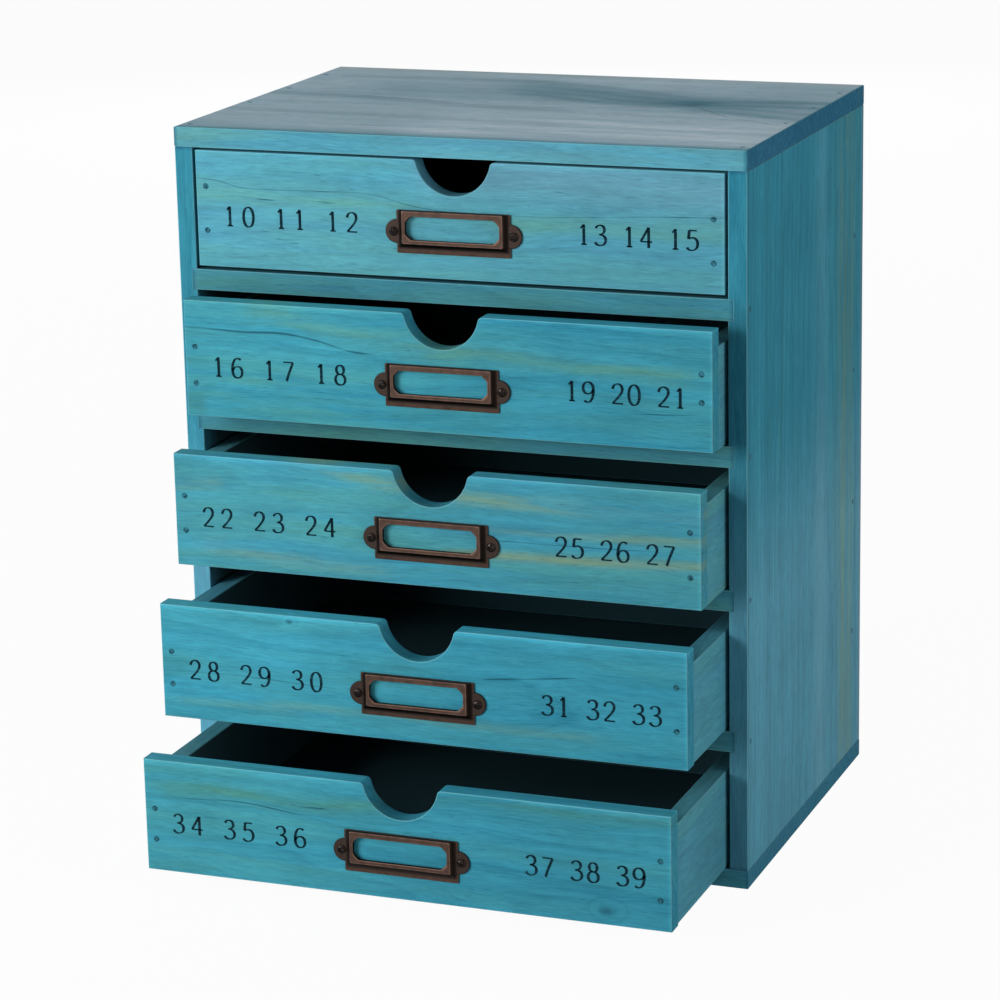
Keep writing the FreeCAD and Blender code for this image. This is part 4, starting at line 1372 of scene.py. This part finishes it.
# Strokes of plain numerals, as cubic curves in a box one unit high: 3k + 1 points each.
STROKES: dict[str, list[list[Place]]] = {
    "0": [[(.31, 0), (.12, 0), (.04, .25), (.04, .5), (.04, .75), (.12, 1), (.31, 1), (.5, 1),
           (.58, .75), (.58, .5), (.58, .25), (.5, 0), (.31, 0)]],
    "1": [[(.31, 0), (.31, .33), (.31, .66), (.31, 1)],
          [(.14, .82), (.2, .86), (.26, .92), (.31, .99)],
          [(.16, .02), (.26, .02), (.36, .02), (.46, .02)]],
    "2": [[(.07, .74), (.09, .92), (.2, 1), (.32, 1), (.48, 1), (.56, .88), (.56, .74),
           (.56, .54), (.3, .28), (.06, .03)],
          [(.06, .03), (.25, .03), (.42, .03), (.6, .03)]],
    "3": [[(.08, .84), (.12, .94), (.2, 1), (.3, 1), (.44, 1), (.52, .91), (.52, .78),
           (.52, .64), (.42, .55), (.24, .54)],
          [(.24, .54), (.46, .54), (.58, .44), (.58, .28), (.58, .1), (.44, 0), (.28, 0),
           (.16, 0), (.08, .06), (.04, .16)]],
    "4": [[(.43, .99), (.3, .76), (.16, .52), (.03, .3)],
          [(.03, .3), (.22, .3), (.42, .3), (.62, .3)],
          [(.44, 0), (.44, .33), (.44, .66), (.44, 1)]],
    "5": [[(.15, .97), (.28, .97), (.41, .97), (.54, .97)],
          [(.16, .97), (.15, .83), (.13, .7), (.12, .55)],
          [(.12, .55), (.2, .6), (.26, .62), (.32, .62), (.48, .62), (.58, .5), (.58, .32),
           (.58, .12), (.44, 0), (.26, 0), (.15, 0), (.08, .05), (.04, .13)]],
    "6": [[(.52, .93), (.47, .98), (.4, 1), (.34, 1), (.16, 1), (.05, .72), (.05, .4),
           (.05, .14), (.16, 0), (.32, 0), (.48, 0), (.58, .12), (.58, .3), (.58, .48),
           (.48, .58), (.34, .58), (.2, .58), (.09, .48), (.06, .34)]],
    "7": [[(.05, .97), (.22, .97), (.41, .97), (.58, .97)],
          [(.57, .96), (.46, .7), (.32, .4), (.2, 0)]],
    "8": [[(.31, .54), (.18, .54), (.11, .65), (.11, .77), (.11, .9), (.19, 1), (.31, 1),
           (.43, 1), (.51, .9), (.51, .77), (.51, .65), (.44, .54), (.31, .54)],
          [(.31, .54), (.14, .54), (.05, .42), (.05, .27), (.05, .11), (.15, 0), (.31, 0),
           (.47, 0), (.57, .11), (.57, .27), (.57, .42), (.48, .54), (.31, .54)]],
}
# A 9 is a 6 turned half round.
STROKES["9"] = [[(NUMERAL_WIDTH - x, 1 - z) for x, z in STROKES["6"][0]]]


@dataclass
class Numerals:
    """Plain button sizes stamped on both ends of a drawer front, beside its label holder.

    Sizes are in millimetres; x is from the front's left end and z above its bottom. The broad
    pen is held at an angle in degrees.
    """

    drawer: int
    material: bpy.types.Material
    texts: tuple[str, str]
    spans: tuple[Place, Place] = ((12.5, 73.0), (169.5, 220.5))
    base: float = 17.6
    tall: float = 8.3
    space: float = 0.75
    thick: float = 1.25
    thin: float = 0.55
    proud: float = 0.05
    pen_angle: float = 12.0
    contrast: float = 1.3

    def stroke(self, points: list[Place], x: float) -> Surface:
        """A stroke of a broad pen: a ribbon carried along a cubic curve.

        The curve is the Bernstein sum of each four points. The ribbon's width is thin + (thick
        - thin) |sin(direction - pen angle)| to the power of the contrast, so upright strokes are
        thick and level ones thin.

        Args:
            points: the control points.
            x: where the numeral starts, from the front's left end.

        Returns:
            The ribbon as a closed shell in x, z and height.
        """
        control = np.array(points) * self.tall + (x, self.base)
        pieces = control[np.arange(0, len(control) - 1, 3)[:, None] + np.arange(4)]
        t = np.linspace(0.0, 1.0, 11)
        weight = np.stack([(1 - t) ** 3, 3 * t * (1 - t) ** 2, 3 * t ** 2 * (1 - t), t ** 3])
        path = np.einsum("kt,pkd->ptd", weight, pieces)
        path = np.concatenate([path[:, :-1].reshape(-1, 2), path[-1, -1:]])
        run = np.gradient(path, axis=0)
        run /= np.linalg.norm(run, axis=1, keepdims=True)
        angle = np.arctan2(run[:, 1], run[:, 0]) - math.radians(self.pen_angle)
        width = self.thin + (self.thick - self.thin) * np.abs(np.sin(angle)) ** self.contrast
        away = np.stack([-run[:, 1], run[:, 0]], -1) * width[:, None] / 2
        left, right = path + away, path - away
        up, down = np.full(len(path), self.proud), np.full(len(path), -self.proud)
        rings = np.stack([np.column_stack([left, up]), np.column_stack([right, up]),
                          np.column_stack([right, down]), np.column_stack([left, down])], 1)
        n = len(path)
        numbers = np.arange(4 * n).reshape(n, 4)
        caps = np.stack([numbers[0, ::-1], numbers[-1]])
        return Surface(rings.reshape(-1, 3), [ring_faces(numbers), caps])

    def build(self) -> bpy.types.Object:
        """Sets out both groups of numerals on the drawer front.

        Returns:
            The finished piece.
        """
        low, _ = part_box(f"drawer_{self.drawer}_front")
        parts = []
        for text, (x, end) in zip(self.texts, self.spans):
            steps = [self.space if mark == " " else 1.0 for mark in text]
            step = (end - x - NUMERAL_WIDTH * self.tall) / sum(steps[:-1])
            for mark, share in zip(text, steps):
                parts += [self.stroke(s, x) for s in STROKES.get(mark, [])]
                x += step * share
        for part in parts:
            x, z, h = part.points.T * MM
            part.points = np.stack([low.x + x, low.y - h, low.z + z], -1)
            part.outward()
        return make_piece(f"drawer_{self.drawer}_numerals", Surface.joined(parts),
                          self.material, f"drawer_{self.drawer}")


# ---------------------------------------------------------------------------
# Sub-assemblies
# ---------------------------------------------------------------------------

@dataclass
class Finishes:
    """Every material of the object, built once."""

    pine: bpy.types.Material = field(default_factory=lambda: StainedPine().material())
    waxed: bpy.types.Material = field(default_factory=lambda: StainedPine(
        name="waxed_stained_pine", roughness=0.9, specular=0.18, wax=0.6).material())
    plywood: bpy.types.Material = field(default_factory=lambda: StainedPine(
        name="stained_plywood", ring_pitch=9.0, ring_depth=0.3).material())
    copper: bpy.types.Material = field(default_factory=lambda: AgedCopperPlate().material())
    screw: bpy.types.Material = field(default_factory=lambda: DarkSteel(
        "blackened_screw_steel", "#131212", "#352F2D", 0.34).material())
    nail: bpy.types.Material = field(default_factory=lambda: DarkSteel(
        "stained_nail_steel", "#122A33", "#35707F", 0.6).material())
    ink: bpy.types.Material = field(default_factory=lambda: StampedInk().material())

    def dress_nails(self) -> None:
        """Gives every packed nail solid the nail steel."""
        for name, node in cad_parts.items():
            if name.endswith("nails"):
                if not node.material_slots:
                    node.data.materials.append(self.nail)
                for slot in node.material_slots:
                    slot.material = self.nail
                LOG.info("%s: nail steel", name)


@dataclass
class Cabinet:
    """The nailed carcass: top and bottom panels, two sides, four shelves and a thin back.

    Sizes are in millimetres in the row frame. Lit is how far in from the front the boards'
    inner faces are painted with less shade.
    """

    finishes: Finishes
    shelves: int = 4
    rebate: Place = (85.5, 88.6)
    rebate_half: float = 121.5
    rebate_depth: float = 4.5
    housing_depth: float = 2.0
    panel_nails_x: float = 121.0
    panel_nails_y: tuple[float, ...] = (-80.5, -20.0, 21.5, 63.0)
    side_nails_y: tuple[float, ...] = (-84.5, 74.5)
    back_nails_x: float = 62.5
    nail_head: float = 1.1
    lit: float = 16.0

    def build(self) -> None:
        """Builds every board of the carcass."""
        self.build_panels()
        self.build_sides()
        self.build_shelves()
        self.build_back()

    def build_panels(self) -> None:
        """Builds the top and bottom panels, rebated for the back and nailed to the sides."""
        spots = [(x * MM, y * MM) for x in (-self.panel_nails_x, self.panel_nails_x)
                 for y in self.panel_nails_y]
        half = self.rebate_half * MM
        rows = (self.rebate[0] * MM, self.rebate[1] * MM)
        looks = {
            # Its grey share of 0.5 is painted sheen, taken off at both ends and the front edge.
            "top_panel": dict(
                thickness=Axis.Z, outer=Face.FAR, inner=Face.NEAR, tone=Tone(1.0, 0.15, 0.5),
                material=self.finishes.waxed, heart=(40.0, 22.0, 21.0),
                knot=(194.0, 101.0, 3.5), streaks=(
                    Streak(((108, 152), (135, 146), (165, 133), (188, 122)), 5.0,
                           -0.12, 0.0, 0.0, -0.1, 34.0),
                    Streak(((116, 139), (135, 133), (162, 121), (186, 112)), 8.0,
                           -0.17, 0.0, 0.0, -0.17, 30.0),
                    Streak(((112, 127), (138, 120), (164, 109), (188, 104)), 3.6,
                           -0.16, 0.0, 0.0, -0.12, 20.0),
                    Streak(((120, 117), (150, 105), (182, 99)), 5.0,
                           -0.15, 0.0, 0.0, -0.13, 24.0),
                    Streak(((60, 122), (220, 114)), 28.0, -0.1, 0.0, 0.0, -0.1, 50.0),
                    Streak(((196, 112), (218, 118), (250, 121)), 5.0,
                           -0.14, 0.0, 0.0, -0.18, 24.0),
                    Streak(((200, 106), (225, 108), (250, 108)), 4.0,
                           -0.14, 0.0, 0.0, -0.18, 24.0),
                    Streak(((205, 92), (228, 84), (250, 76)), 5.0,
                           -0.16, 0.0, 0.0, -0.16, 20.0),
                    Streak(((208, 100), (230, 96), (250, 92)), 3.5,
                           -0.14, 0.0, 0.0, -0.14, 20.0),
                    Streak(((0, 98), (50, 93), (100, 82), (140, 78)), 4.0, -0.16, 0.1,
                           0.0, -0.1),
                    Streak(((250, 88), (260, 88)), ALL_OVER, -0.1, 0.0, 0.0, -0.55, 0.7),
                    Streak(((-10, 88), (0, 88)), ALL_OVER, -0.1, 0.0, 0.0, -0.55, 0.7),
                    Streak(((0, 174), (250, 174)), 6.0, -0.1, 0.0, 0.5),
                    Streak(((0, 0), (250, 0)), 4.5, 0.0, 0.35, 0.12, -0.4),
                    Streak(((120, 32), (250, 36)), 34.0, 0.06, -0.2, 0.0, 0.1, 40.0),
                    Streak(((0, 52), (80, 48), (150, 44)), 5.0, -0.1, 0.2, 0.0, -0.05),
                    Streak(((20, 150), (110, 156)), 5.0, -0.12, 0.1, 0.0, -0.05)),
                veins=(
                    Vein(((100, 85), (145, 86), (172, 94), (185, 98), (194, 103),
                          (203, 94), (215, 80), (232, 69), (252, 57)), 0.5, 24.0),
                    Vein(((-2, 102), (25, 100), (50, 97), (75, 91), (100, 85)), 0.55),
                    Vein(((20, 26), (90, 22), (170, 28), (240, 25)), 0.25, 60.0))),
            "bottom_panel": dict(
                thickness=Axis.Z, outer=Face.NEAR, inner=Face.FAR, tone=Tone(0.95, 0.35, 0.08),
                material=self.finishes.pine, heart=(10.0, -30.0, 40.0), soak=0.6)}
        for name, look in looks.items():
            outer, inner = look.pop("outer"), look.pop("inner")
            Board(name, "cabinet", grain=Axis.X, dark=inner, lit=self.lit * MM,
                  cuts=[Cut((-half, half), rows, self.rebate_depth * MM, inner)], pitch=3 * MM,
                  pits=[Pit(x, y, outer) for x, y in spots], **look).build()

    def build_sides(self) -> None:
        """Builds both sides with a housing for each shelf and the rear rebate."""
        boxes = [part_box(f"shelf_{n}") for n in range(1, self.shelves + 1)]
        # Both sides are painted lighter and greyer towards the foot, as a reflection of the pale
        # floor.
        painted_floor_reflection = Streak(((0, 126), (105, 126)), ALL_OVER, 0.25, 0.0, 0.0, 0.2, 90.0)
        looks = {
            "left_side": dict(
                outer=Face.NEAR, inner=Face.FAR, heart=(0.0, 12.0, 46.0), knot=(96.0, 108.0, 8.0),
                streaks=(painted_floor_reflection, Streak(((0, 40), (140, 46), (302, 38)), 9.0, -0.08, 0.2),
                         Streak(((0, 128), (302, 120)), 12.0, 0.0, 0.1, 0.4)),
                veins=(Vein(((0, 72), (150, 64), (302, 70)), 0.2, 90.0),
                       Vein(((30, 156), (180, 150), (302, 158)), 0.16, 60.0))),
            "right_side": dict(
                outer=Face.FAR, inner=Face.NEAR, heart=(60.0, -20.0, 28.0),
                knot=(299.0, 130.0, 7.0),
                streaks=(painted_floor_reflection, Streak(((0, 18), (302, 18)), 5.0, 0.08),
                         # Darker and bluer along the front edge; up to 232 mm it is darker still,
                         # a painted shadow of the open drawers.
                         Streak(((0, -2), (302, -2)), 4.0, -0.12, -0.1),
                         Streak(((0, -2), (232, -2)), 4.0, -0.26),
                         Streak(((0, 29), (302, 27)), 1.8, -0.14, 0.1),
                         Streak(((0, 52), (150, 48), (302, 51)), 2.4, -0.12, 0.1),
                         Streak(((0, 66), (302, 64)), 1.8, -0.1),
                         Streak(((0, 76), (302, 74)), 2.0, -0.1),
                         Streak(((0, 111), (302, 110)), 10.0, 0.08, 0.1, 0.0, 0.1),
                         Streak(((0, 152), (150, 148), (302, 150)), 13.0, -0.05, 0.2, 0.6),
                         Streak(((0, 176), (302, 176)), 2.5, -0.1, 0.0, 0.0, 0.4)),
                veins=(Vein(((0, 34), (150, 31), (302, 33)), 0.16, 80.0),
                       Vein(((0, 128), (150, 133), (302, 129)), 0.2, 80.0),
                       Vein(((0, 170), (150, 166), (302, 171)), 0.16, 80.0)))}
        for name, look in looks.items():
            outer, inner = look.pop("outer"), look.pop("inner")
            cuts = [Cut((-0.1, high.y), (low.z, high.z), self.housing_depth * MM, inner)
                    for low, high in boxes]
            cuts.append(Cut((self.rebate[0] * MM, self.rebate[1] * MM), (-0.1, 1.0),
                            self.rebate_depth * MM, inner))
            pits = [Pit(y * MM, (low.z + high.z) / 2, outer)
                    for low, high in boxes for y in self.side_nails_y]
            Board(name, "cabinet", Axis.X, Axis.Z, self.finishes.pine, cuts=cuts, pits=pits,
                  tone=Tone(0.83, 0.1, 0.0), dark=inner, lit=self.lit * MM, pitch=3 * MM,
                  **look).build()

    def build_shelves(self) -> None:
        """Builds the four shelves, whose front edges are flush with the sides."""
        for n in range(1, self.shelves + 1):
            Board(f"shelf_{n}", "cabinet", Axis.Z, Axis.X, self.finishes.pine, dark=Face.BOTH,
                  lit=self.lit * MM, tone=Tone(0.72, 0.7, 0.06),
                  heart=(31.0 * n, 9.0 * n - 20, 30.0)).build()

    def build_back(self) -> None:
        """Builds the thin back panel, nailed to both sides at three bays and to both panels."""
        low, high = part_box("back_nails")
        head = self.nail_head * MM
        shelves = sorted((b.z, t.z) for b, t in (
            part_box(f"shelf_{n}") for n in range(1, self.shelves + 1)))
        levels = [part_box("bottom_panel")[1].z, shelves[0][0], shelves[1][1], shelves[2][0],
                  shelves[3][1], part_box("top_panel")[0].z]
        rows = [(a + b) / 2 for a, b in zip(levels[::2], levels[1::2])]
        spots = [(x, z) for x in (low.x + head, high.x - head) for z in rows]
        spots += [(x * MM, z) for x in (-self.back_nails_x, self.back_nails_x)
                  for z in (low.z + head, high.z - head)]
        Board("back_panel", "cabinet", Axis.Y, Axis.X, self.finishes.plywood,
              slot="stained_plywood", tone=Tone(0.9, 0.4, 0.1), heart=(0.0, 0.0, 60.0),
              pits=[Pit(x, z, Face.FAR) for x, z in spots], dark=Face.NEAR, pitch=4 * MM,
              knot=(160.0, 205.0, 9.0), easing=0.3 * MM, streaks=(
                  Streak(((0, 70), (90, 78), (242, 66)), 12.0, -0.08, 0.3),
                  Streak(((0, 220), (120, 208), (242, 226)), 16.0, 0.05, 0.1, 0.3)),
              veins=(Vein(((0, 130), (110, 138), (243, 128)), 0.4, 60.0),
                     Vein(((20, 250), (150, 240), (243, 246)), 0.35, 60.0))).build()


@dataclass
class Drawer:
    """One drawer: notched front, two sides, back, floor, label holder, screws and numerals.

    Sizes are in millimetres: nail heights are above the lower edge of its sides, y is behind
    the front's face, and the front's figure is measured from its lowest corner.
    """

    number: int
    finishes: Finishes
    tone: Tone
    heart: tuple[float, float, float]
    texts: tuple[str, str]
    left_nails: Place
    right_nails: Place
    knot: tuple[float, float, float] | None = None
    streaks: tuple[Streak, ...] = ()
    veins: tuple[Vein, ...] = ()
    front_nails_x: float = 111.2
    rear_nails_y: float = 167.0
    rear_nails_z: Place = (15.9, 33.6)
    floor_nails_x: float = 75.7
    groove_play: float = 0.1
    groove_depth: float = 3.0
    groove_half: float = 110.2

    def board(self, part: str, thickness: Axis, grain: Axis, **details: object) -> Board:
        """A board of this drawer.

        Args:
            part: the last part of its node's name.
            thickness: the axis through it.
            grain: the axis along its fibres.
            **details: further fields of Board.

        Returns:
            The board, not yet built.
        """
        kind = NotchedBoard if part == "front" else Board
        details.setdefault("material", self.finishes.pine)
        return kind(f"drawer_{self.number}_{part}", f"drawer_{self.number}", thickness, grain,
                    **details)

    def build(self) -> None:
        """Builds and dresses every piece of the drawer."""
        name = f"drawer_{self.number}"
        front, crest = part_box(f"{name}_front")
        foot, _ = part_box(f"{name}_left_side")
        low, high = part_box(f"{name}_floor")
        play = self.groove_play * MM
        groove = (low.z - play, high.z + play)
        half = self.groove_half * MM
        rear = front.y + self.rear_nails_y * MM
        # Painted shade darkens each front towards its right, where it is also bluer; the right end
        # face is paler; the top face and upper edge are lighter, partly wear and partly painted
        # sheen.
        across = Streak(((150, 24), (240, 24)), ALL_OVER, -0.11, -0.12, fade=100.0)
        sawn = Streak(((231, 24), (240, 24)), ALL_OVER, 0.2, fade=0.8)
        tall = (crest.z - front.z) / MM
        worn = Streak(((0, tall), (240, tall)), 0.9, 0.3)
        self.board("front", Axis.Y, Axis.X, tone=self.tone, heart=self.heart, knot=self.knot,
                   streaks=(*self.streaks, across, sawn, worn), veins=self.veins,
                   dark=Face.FAR, soak=0.25, pitch=2 * MM,
                   cuts=[Cut((-half, half), groove, self.groove_depth * MM, Face.FAR)],
                   pits=[Pit(x * MM, foot.z + z * MM, Face.NEAR)
                         for x, spots in ((-self.front_nails_x, self.left_nails),
                                          (self.front_nails_x, self.right_nails))
                         for z in spots]).build()
        for part, outer, inner, shift in (("left_side", Face.NEAR, Face.FAR, 0.0),
                                          ("right_side", Face.FAR, Face.NEAR, 55.0)):
            self.board(part, Axis.X, Axis.Y, tone=replace(self.tone, grey=0.12), dark=inner,
                       heart=(shift + 70.0 * self.number, 4.0 * self.number - 12, 33.0),
                       cuts=[Cut((-1.0, 1.0), groove, self.groove_depth * MM, inner)],
                       pits=[Pit(rear, foot.z + z * MM, outer)
                             for z in self.rear_nails_z]).build()
        self.board("back", Axis.Y, Axis.X, tone=self.tone, dark=Face.NEAR,
                   heart=(25.0 * self.number, -8.0, 40.0)).build()
        self.board("floor", Axis.Z, Axis.X, material=self.finishes.plywood, dark=Face.FAR,
                   slot="stained_plywood", tone=Tone(0.7, 0.4, 0.2), easing=0.3 * MM,
                   heart=(18.0 * self.number, 0.0, 60.0),
                   pits=[Pit(x * MM, rear, Face.NEAR)
                         for x in (-self.floor_nails_x, self.floor_nails_x)]).build()
        LabelHolder(self.number, self.finishes.copper).build()
        LabelScrews(self.number, self.finishes.screw).build()
        Numerals(self.number, self.finishes.ink, self.texts).build()


# ---------------------------------------------------------------------------
# Studio
# ---------------------------------------------------------------------------

@dataclass
class Studio:
    """The camera, the soft lamps, the white surroundings and the pale floor.

    Places and sizes are in metres, the lens and its sensor in millimetres, the roll in degrees.
    Each lamp has a name, a place, a diameter and a power in watts: a key at the front left, a
    fill at the right and one behind.
    """

    eye: tuple[float, float, float] = (0.5236, -1.4058, 0.5446)
    target: tuple[float, float, float] = (0.0178, -0.0885, 0.1601)
    lens: float = 126.71
    sensor: float = 36.0
    roll: float = -1.186
    nearest: float = 0.05
    farthest: float = 50.0
    lamps: tuple[tuple[str, tuple[float, float, float], float, float], ...] = (
        ("key", (-1.38, -1.74, 0.655), 1.2, 43.0),
        ("fill", (1.9, -0.5, 0.5), 1.4, 12.0),
        ("rear", (-0.75, 1.95, 0.72), 1.2, 9.0))
    lit_point: tuple[float, float, float] = (0.0, 0.0, 0.15)
    ambient: float = 0.17
    floor_size: float = 8.0

    def build(self) -> None:
        """Sets up the whole studio."""
        self.build_camera()
        self.build_lamps()
        self.build_world()
        self.build_floor()

    def build_camera(self) -> None:
        """Places the camera with its small roll."""
        data = bpy.data.cameras.new("camera")
        data.lens, data.sensor_width = self.lens, self.sensor
        data.clip_start, data.clip_end = self.nearest, self.farthest
        camera = bpy.data.objects.new("camera", data)
        bpy.context.scene.collection.objects.link(camera)
        eye = Vector(self.eye)
        facing = (Vector(self.target) - eye).to_track_quat("-Z", "Y").to_matrix()
        turned = facing @ Matrix.Rotation(math.radians(self.roll), 3, "Z")
        camera.matrix_world = Matrix.LocRotScale(eye, turned, None)
        bpy.context.scene.camera = camera

    def build_lamps(self) -> None:
        """Stands the soft lamps, each turned towards the middle of the cabinet."""
        for name, place, size, energy in self.lamps:
            data = bpy.data.lights.new(name, "AREA")
            data.shape, data.size, data.energy = "DISK", size, energy
            lamp = bpy.data.objects.new(name, data)
            lamp.location = place
            lamp.rotation_euler = (Vector(self.lit_point) - Vector(place)).to_track_quat(
                "-Z", "Y").to_euler()
            bpy.context.scene.collection.objects.link(lamp)

    def build_world(self) -> None:
        """Makes the surroundings white to the eye and in reflections, and a soft fill light."""
        world = bpy.data.worlds.new("surroundings")
        bpy.context.scene.world = world
        world.use_nodes = True
        tree = world.node_tree
        tree.nodes.clear()
        strength = add(tree, "ShaderNodeMapRange", {
            "Value": seen_rays(tree), "To Min": self.ambient, "To Max": 1.0})
        light = add(tree, "ShaderNodeBackground", {"Color": (1, 1, 1, 1), "Strength": strength})
        add(tree, "ShaderNodeOutputWorld", {"Surface": light})

    def build_floor(self) -> None:
        """Lays the floor as a grid one quad wide at the height of the cabinet's underside."""
        half = self.floor_size / 2
        corner = np.array([-half, half])
        x, y = np.meshgrid(corner, corner)
        points = np.stack([x.ravel(), y.ravel(), np.zeros(4)], -1)
        mesh = bpy.data.meshes.new("floor")
        mesh.from_pydata(points.tolist(), [], [(0, 1, 3, 2)])
        mesh.materials.append(PaleFloor().material())
        floor = bpy.data.objects.new("floor", mesh)
        bpy.context.scene.collection.objects.link(floor)


def main() -> None:
    """Builds the cabinet, the drawers and the studio, in that order."""
    logging.basicConfig(level=logging.INFO, format="%(message)s")
    bpy.context.scene.view_settings.view_transform = "Standard"
    finishes = Finishes()
    Cabinet(finishes).build()
    for drawer in (
            # The first drawer's grey share of 0.12 is painted sheen.
            Drawer(1, finishes, Tone(1.07, 0.5, 0.12), (20.0, -9.0, 31.0),
                   ("10 11 12", "13 14 15"), (35.2, 16.5), (31.7, 13.9), streaks=(
                       Streak(((0, 33), (60, 29.5), (90, 28)), 4.5, 0.0, 0.45),
                       Streak(((140, 23.5), (231, 26)), 4.5, 0.0, 0.4),
                       Streak(((0, 42), (100, 41)), 5.0, 0.06, -0.25),
                       Streak(((110, 44), (231, 41)), 9.0, -0.03, -0.2, 0.0, 0.16),
                       Streak(((0, 9), (120, 7)), 5.0, 0.03, 0.2)),
                   veins=(Vein(((-2, 37.5), (10.5, 36.5), (19, 34.4), (29, 33.8), (55, 34.1),
                                (83.5, 33.2), (92, 31), (140.5, 27.9), (162, 28.2),
                                (183.5, 29.4), (205, 30.4), (233, 31.2)), 0.16),
                          Vein(((56, 29.8), (63, 29.4)), 0.35, 6.0),
                          Vein(((28, 29.7), (35, 29.4)), 0.3, 6.0))),
            Drawer(2, finishes, Tone(0.99, 0.48, 0.0), (150.0, 14.0, 36.0),
                   ("16 17 18", "19 20 21"), (30.8, 15.2), (33.0, 21.4), streaks=(
                       Streak(((38, 47), (60, 41), (97, 36), (119, 33)), 4.0, -0.04, 0.5, 0.15),
                       Streak(((30, 17), (50, 10), (72, 4)), 4.0, 0.0, 0.5),
                       Streak(((12, 12), (30, 6), (55, 3)), 4.0, -0.04, 0.4),
                       Streak(((0, 6), (6, 6)), 4.0, -0.25, 0.5, 0.0, 0.0, 4.0),
                       Streak(((119, 36), (155, 33), (212, 30)), 3.4, -0.03, 0.5, 0.15),
                       Streak(((160, 45), (231, 40)), 5.0, -0.08, -0.1),
                       Streak(((100, 6), (231, 12)), 6.0, -0.06, 0.1)),
                   veins=(Vein(((-2, 38.1), (15, 37.8), (26.5, 37.4), (45, 37.8), (62, 35.3),
                                (73.5, 32.4), (85, 31.2)), 0.42),
                          Vein(((202, 14.1), (224, 15)), 0.25, 10.0))),
            Drawer(3, finishes, Tone(0.97, 0.62, 0.03), (290.0, -16.0, 40.0),
                   ("22 23 24", "25 26 27"), (30.9, 15.8), (32.6, 13.9), streaks=(
                       Streak(((62, 49), (80, 44.5), (100, 42), (130, 40.5), (172, 40)), 2.4,
                              0.02, 0.5, 0.8),
                       Streak(((133, 38.5), (180, 37.5), (233, 38.5)), 2.0, 0.0, 0.2, 1.0),
                       Streak(((133, 26), (190, 27), (233, 28)), 1.6, 0.0, 0.2, 0.9),
                       Streak(((133, 15.5), (190, 16.5), (233, 18)), 1.8, 0.0, 0.2, 0.9),
                       Streak(((22, 9.5), (50, 7), (86, 6)), 2.8, 0.0, 0.2, 0.8),
                       Streak(((2, 35), (19, 37)), 2.3, -0.08, 0.3, 0.5, 0.0, 6.0)),
                   veins=(Vein(((130, 22), (190, 22.5), (233, 23.5)), 0.2, 40.0),)),
            Drawer(4, finishes, Tone(1.0, 0.35, 0.0), (400.0, 5.0, 45.0),
                   ("28 29 30", "31 32 33"), (28.9, 14.6), (34.5, 16.0), (59.0, 46.7, 3.6), (
                       Streak(((15, 8.4), (55, 8.4)), 1.4, 0.0, 0.2, 0.35),
                       Streak(((55, 9.8), (183, 9.8)), 1.8, 0.0, 0.2, 0.3),
                       Streak(((0, 48.6), (231, 48.6)), 1.3, 0.16),
                       Streak(((0, 36), (90, 34)), 5.0, 0.04, -0.1),
                       Streak(((140, 20), (231, 24)), 7.0, -0.05, -0.15)),
                   (Vein(((145, 30.2), (163, 32), (183, 34.3)), 0.35, 10.0),
                    Vein(((0, 20.5), (40, 21), (80, 19.5)), 0.25, 30.0))),
            Drawer(5, finishes, Tone(0.94, 0.42, 0.0), (520.0, 20.0, 26.0),
                   ("34 35 36", "37 38 39"), (27.3, 13.7), (29.7, 13.1), (204.0, 6.0, 7.0), (
                       Streak(((17, 36), (40, 38.5), (62, 35), (98, 39)), 3.2, -0.14, 0.5),
                       Streak(((130, 45), (165, 46), (200, 44.5), (233, 46)), 2.2, -0.12, 0.5),
                       Streak(((110, 12), (233, 8)), 8.0, -0.07, -0.15),
                       Streak(((0, 26), (90, 23)), 4.0, 0.04, 0.1)),
                   (Vein(((72, 35.6), (82, 35.5)), 0.4, 8.0),
                    Vein(((20, 33.5), (45, 34.5), (70, 32)), 0.3, 20.0)))):
        drawer.build()
    finishes.dress_nails()
    Studio().build()


if __name__ == "__main__":
    main()
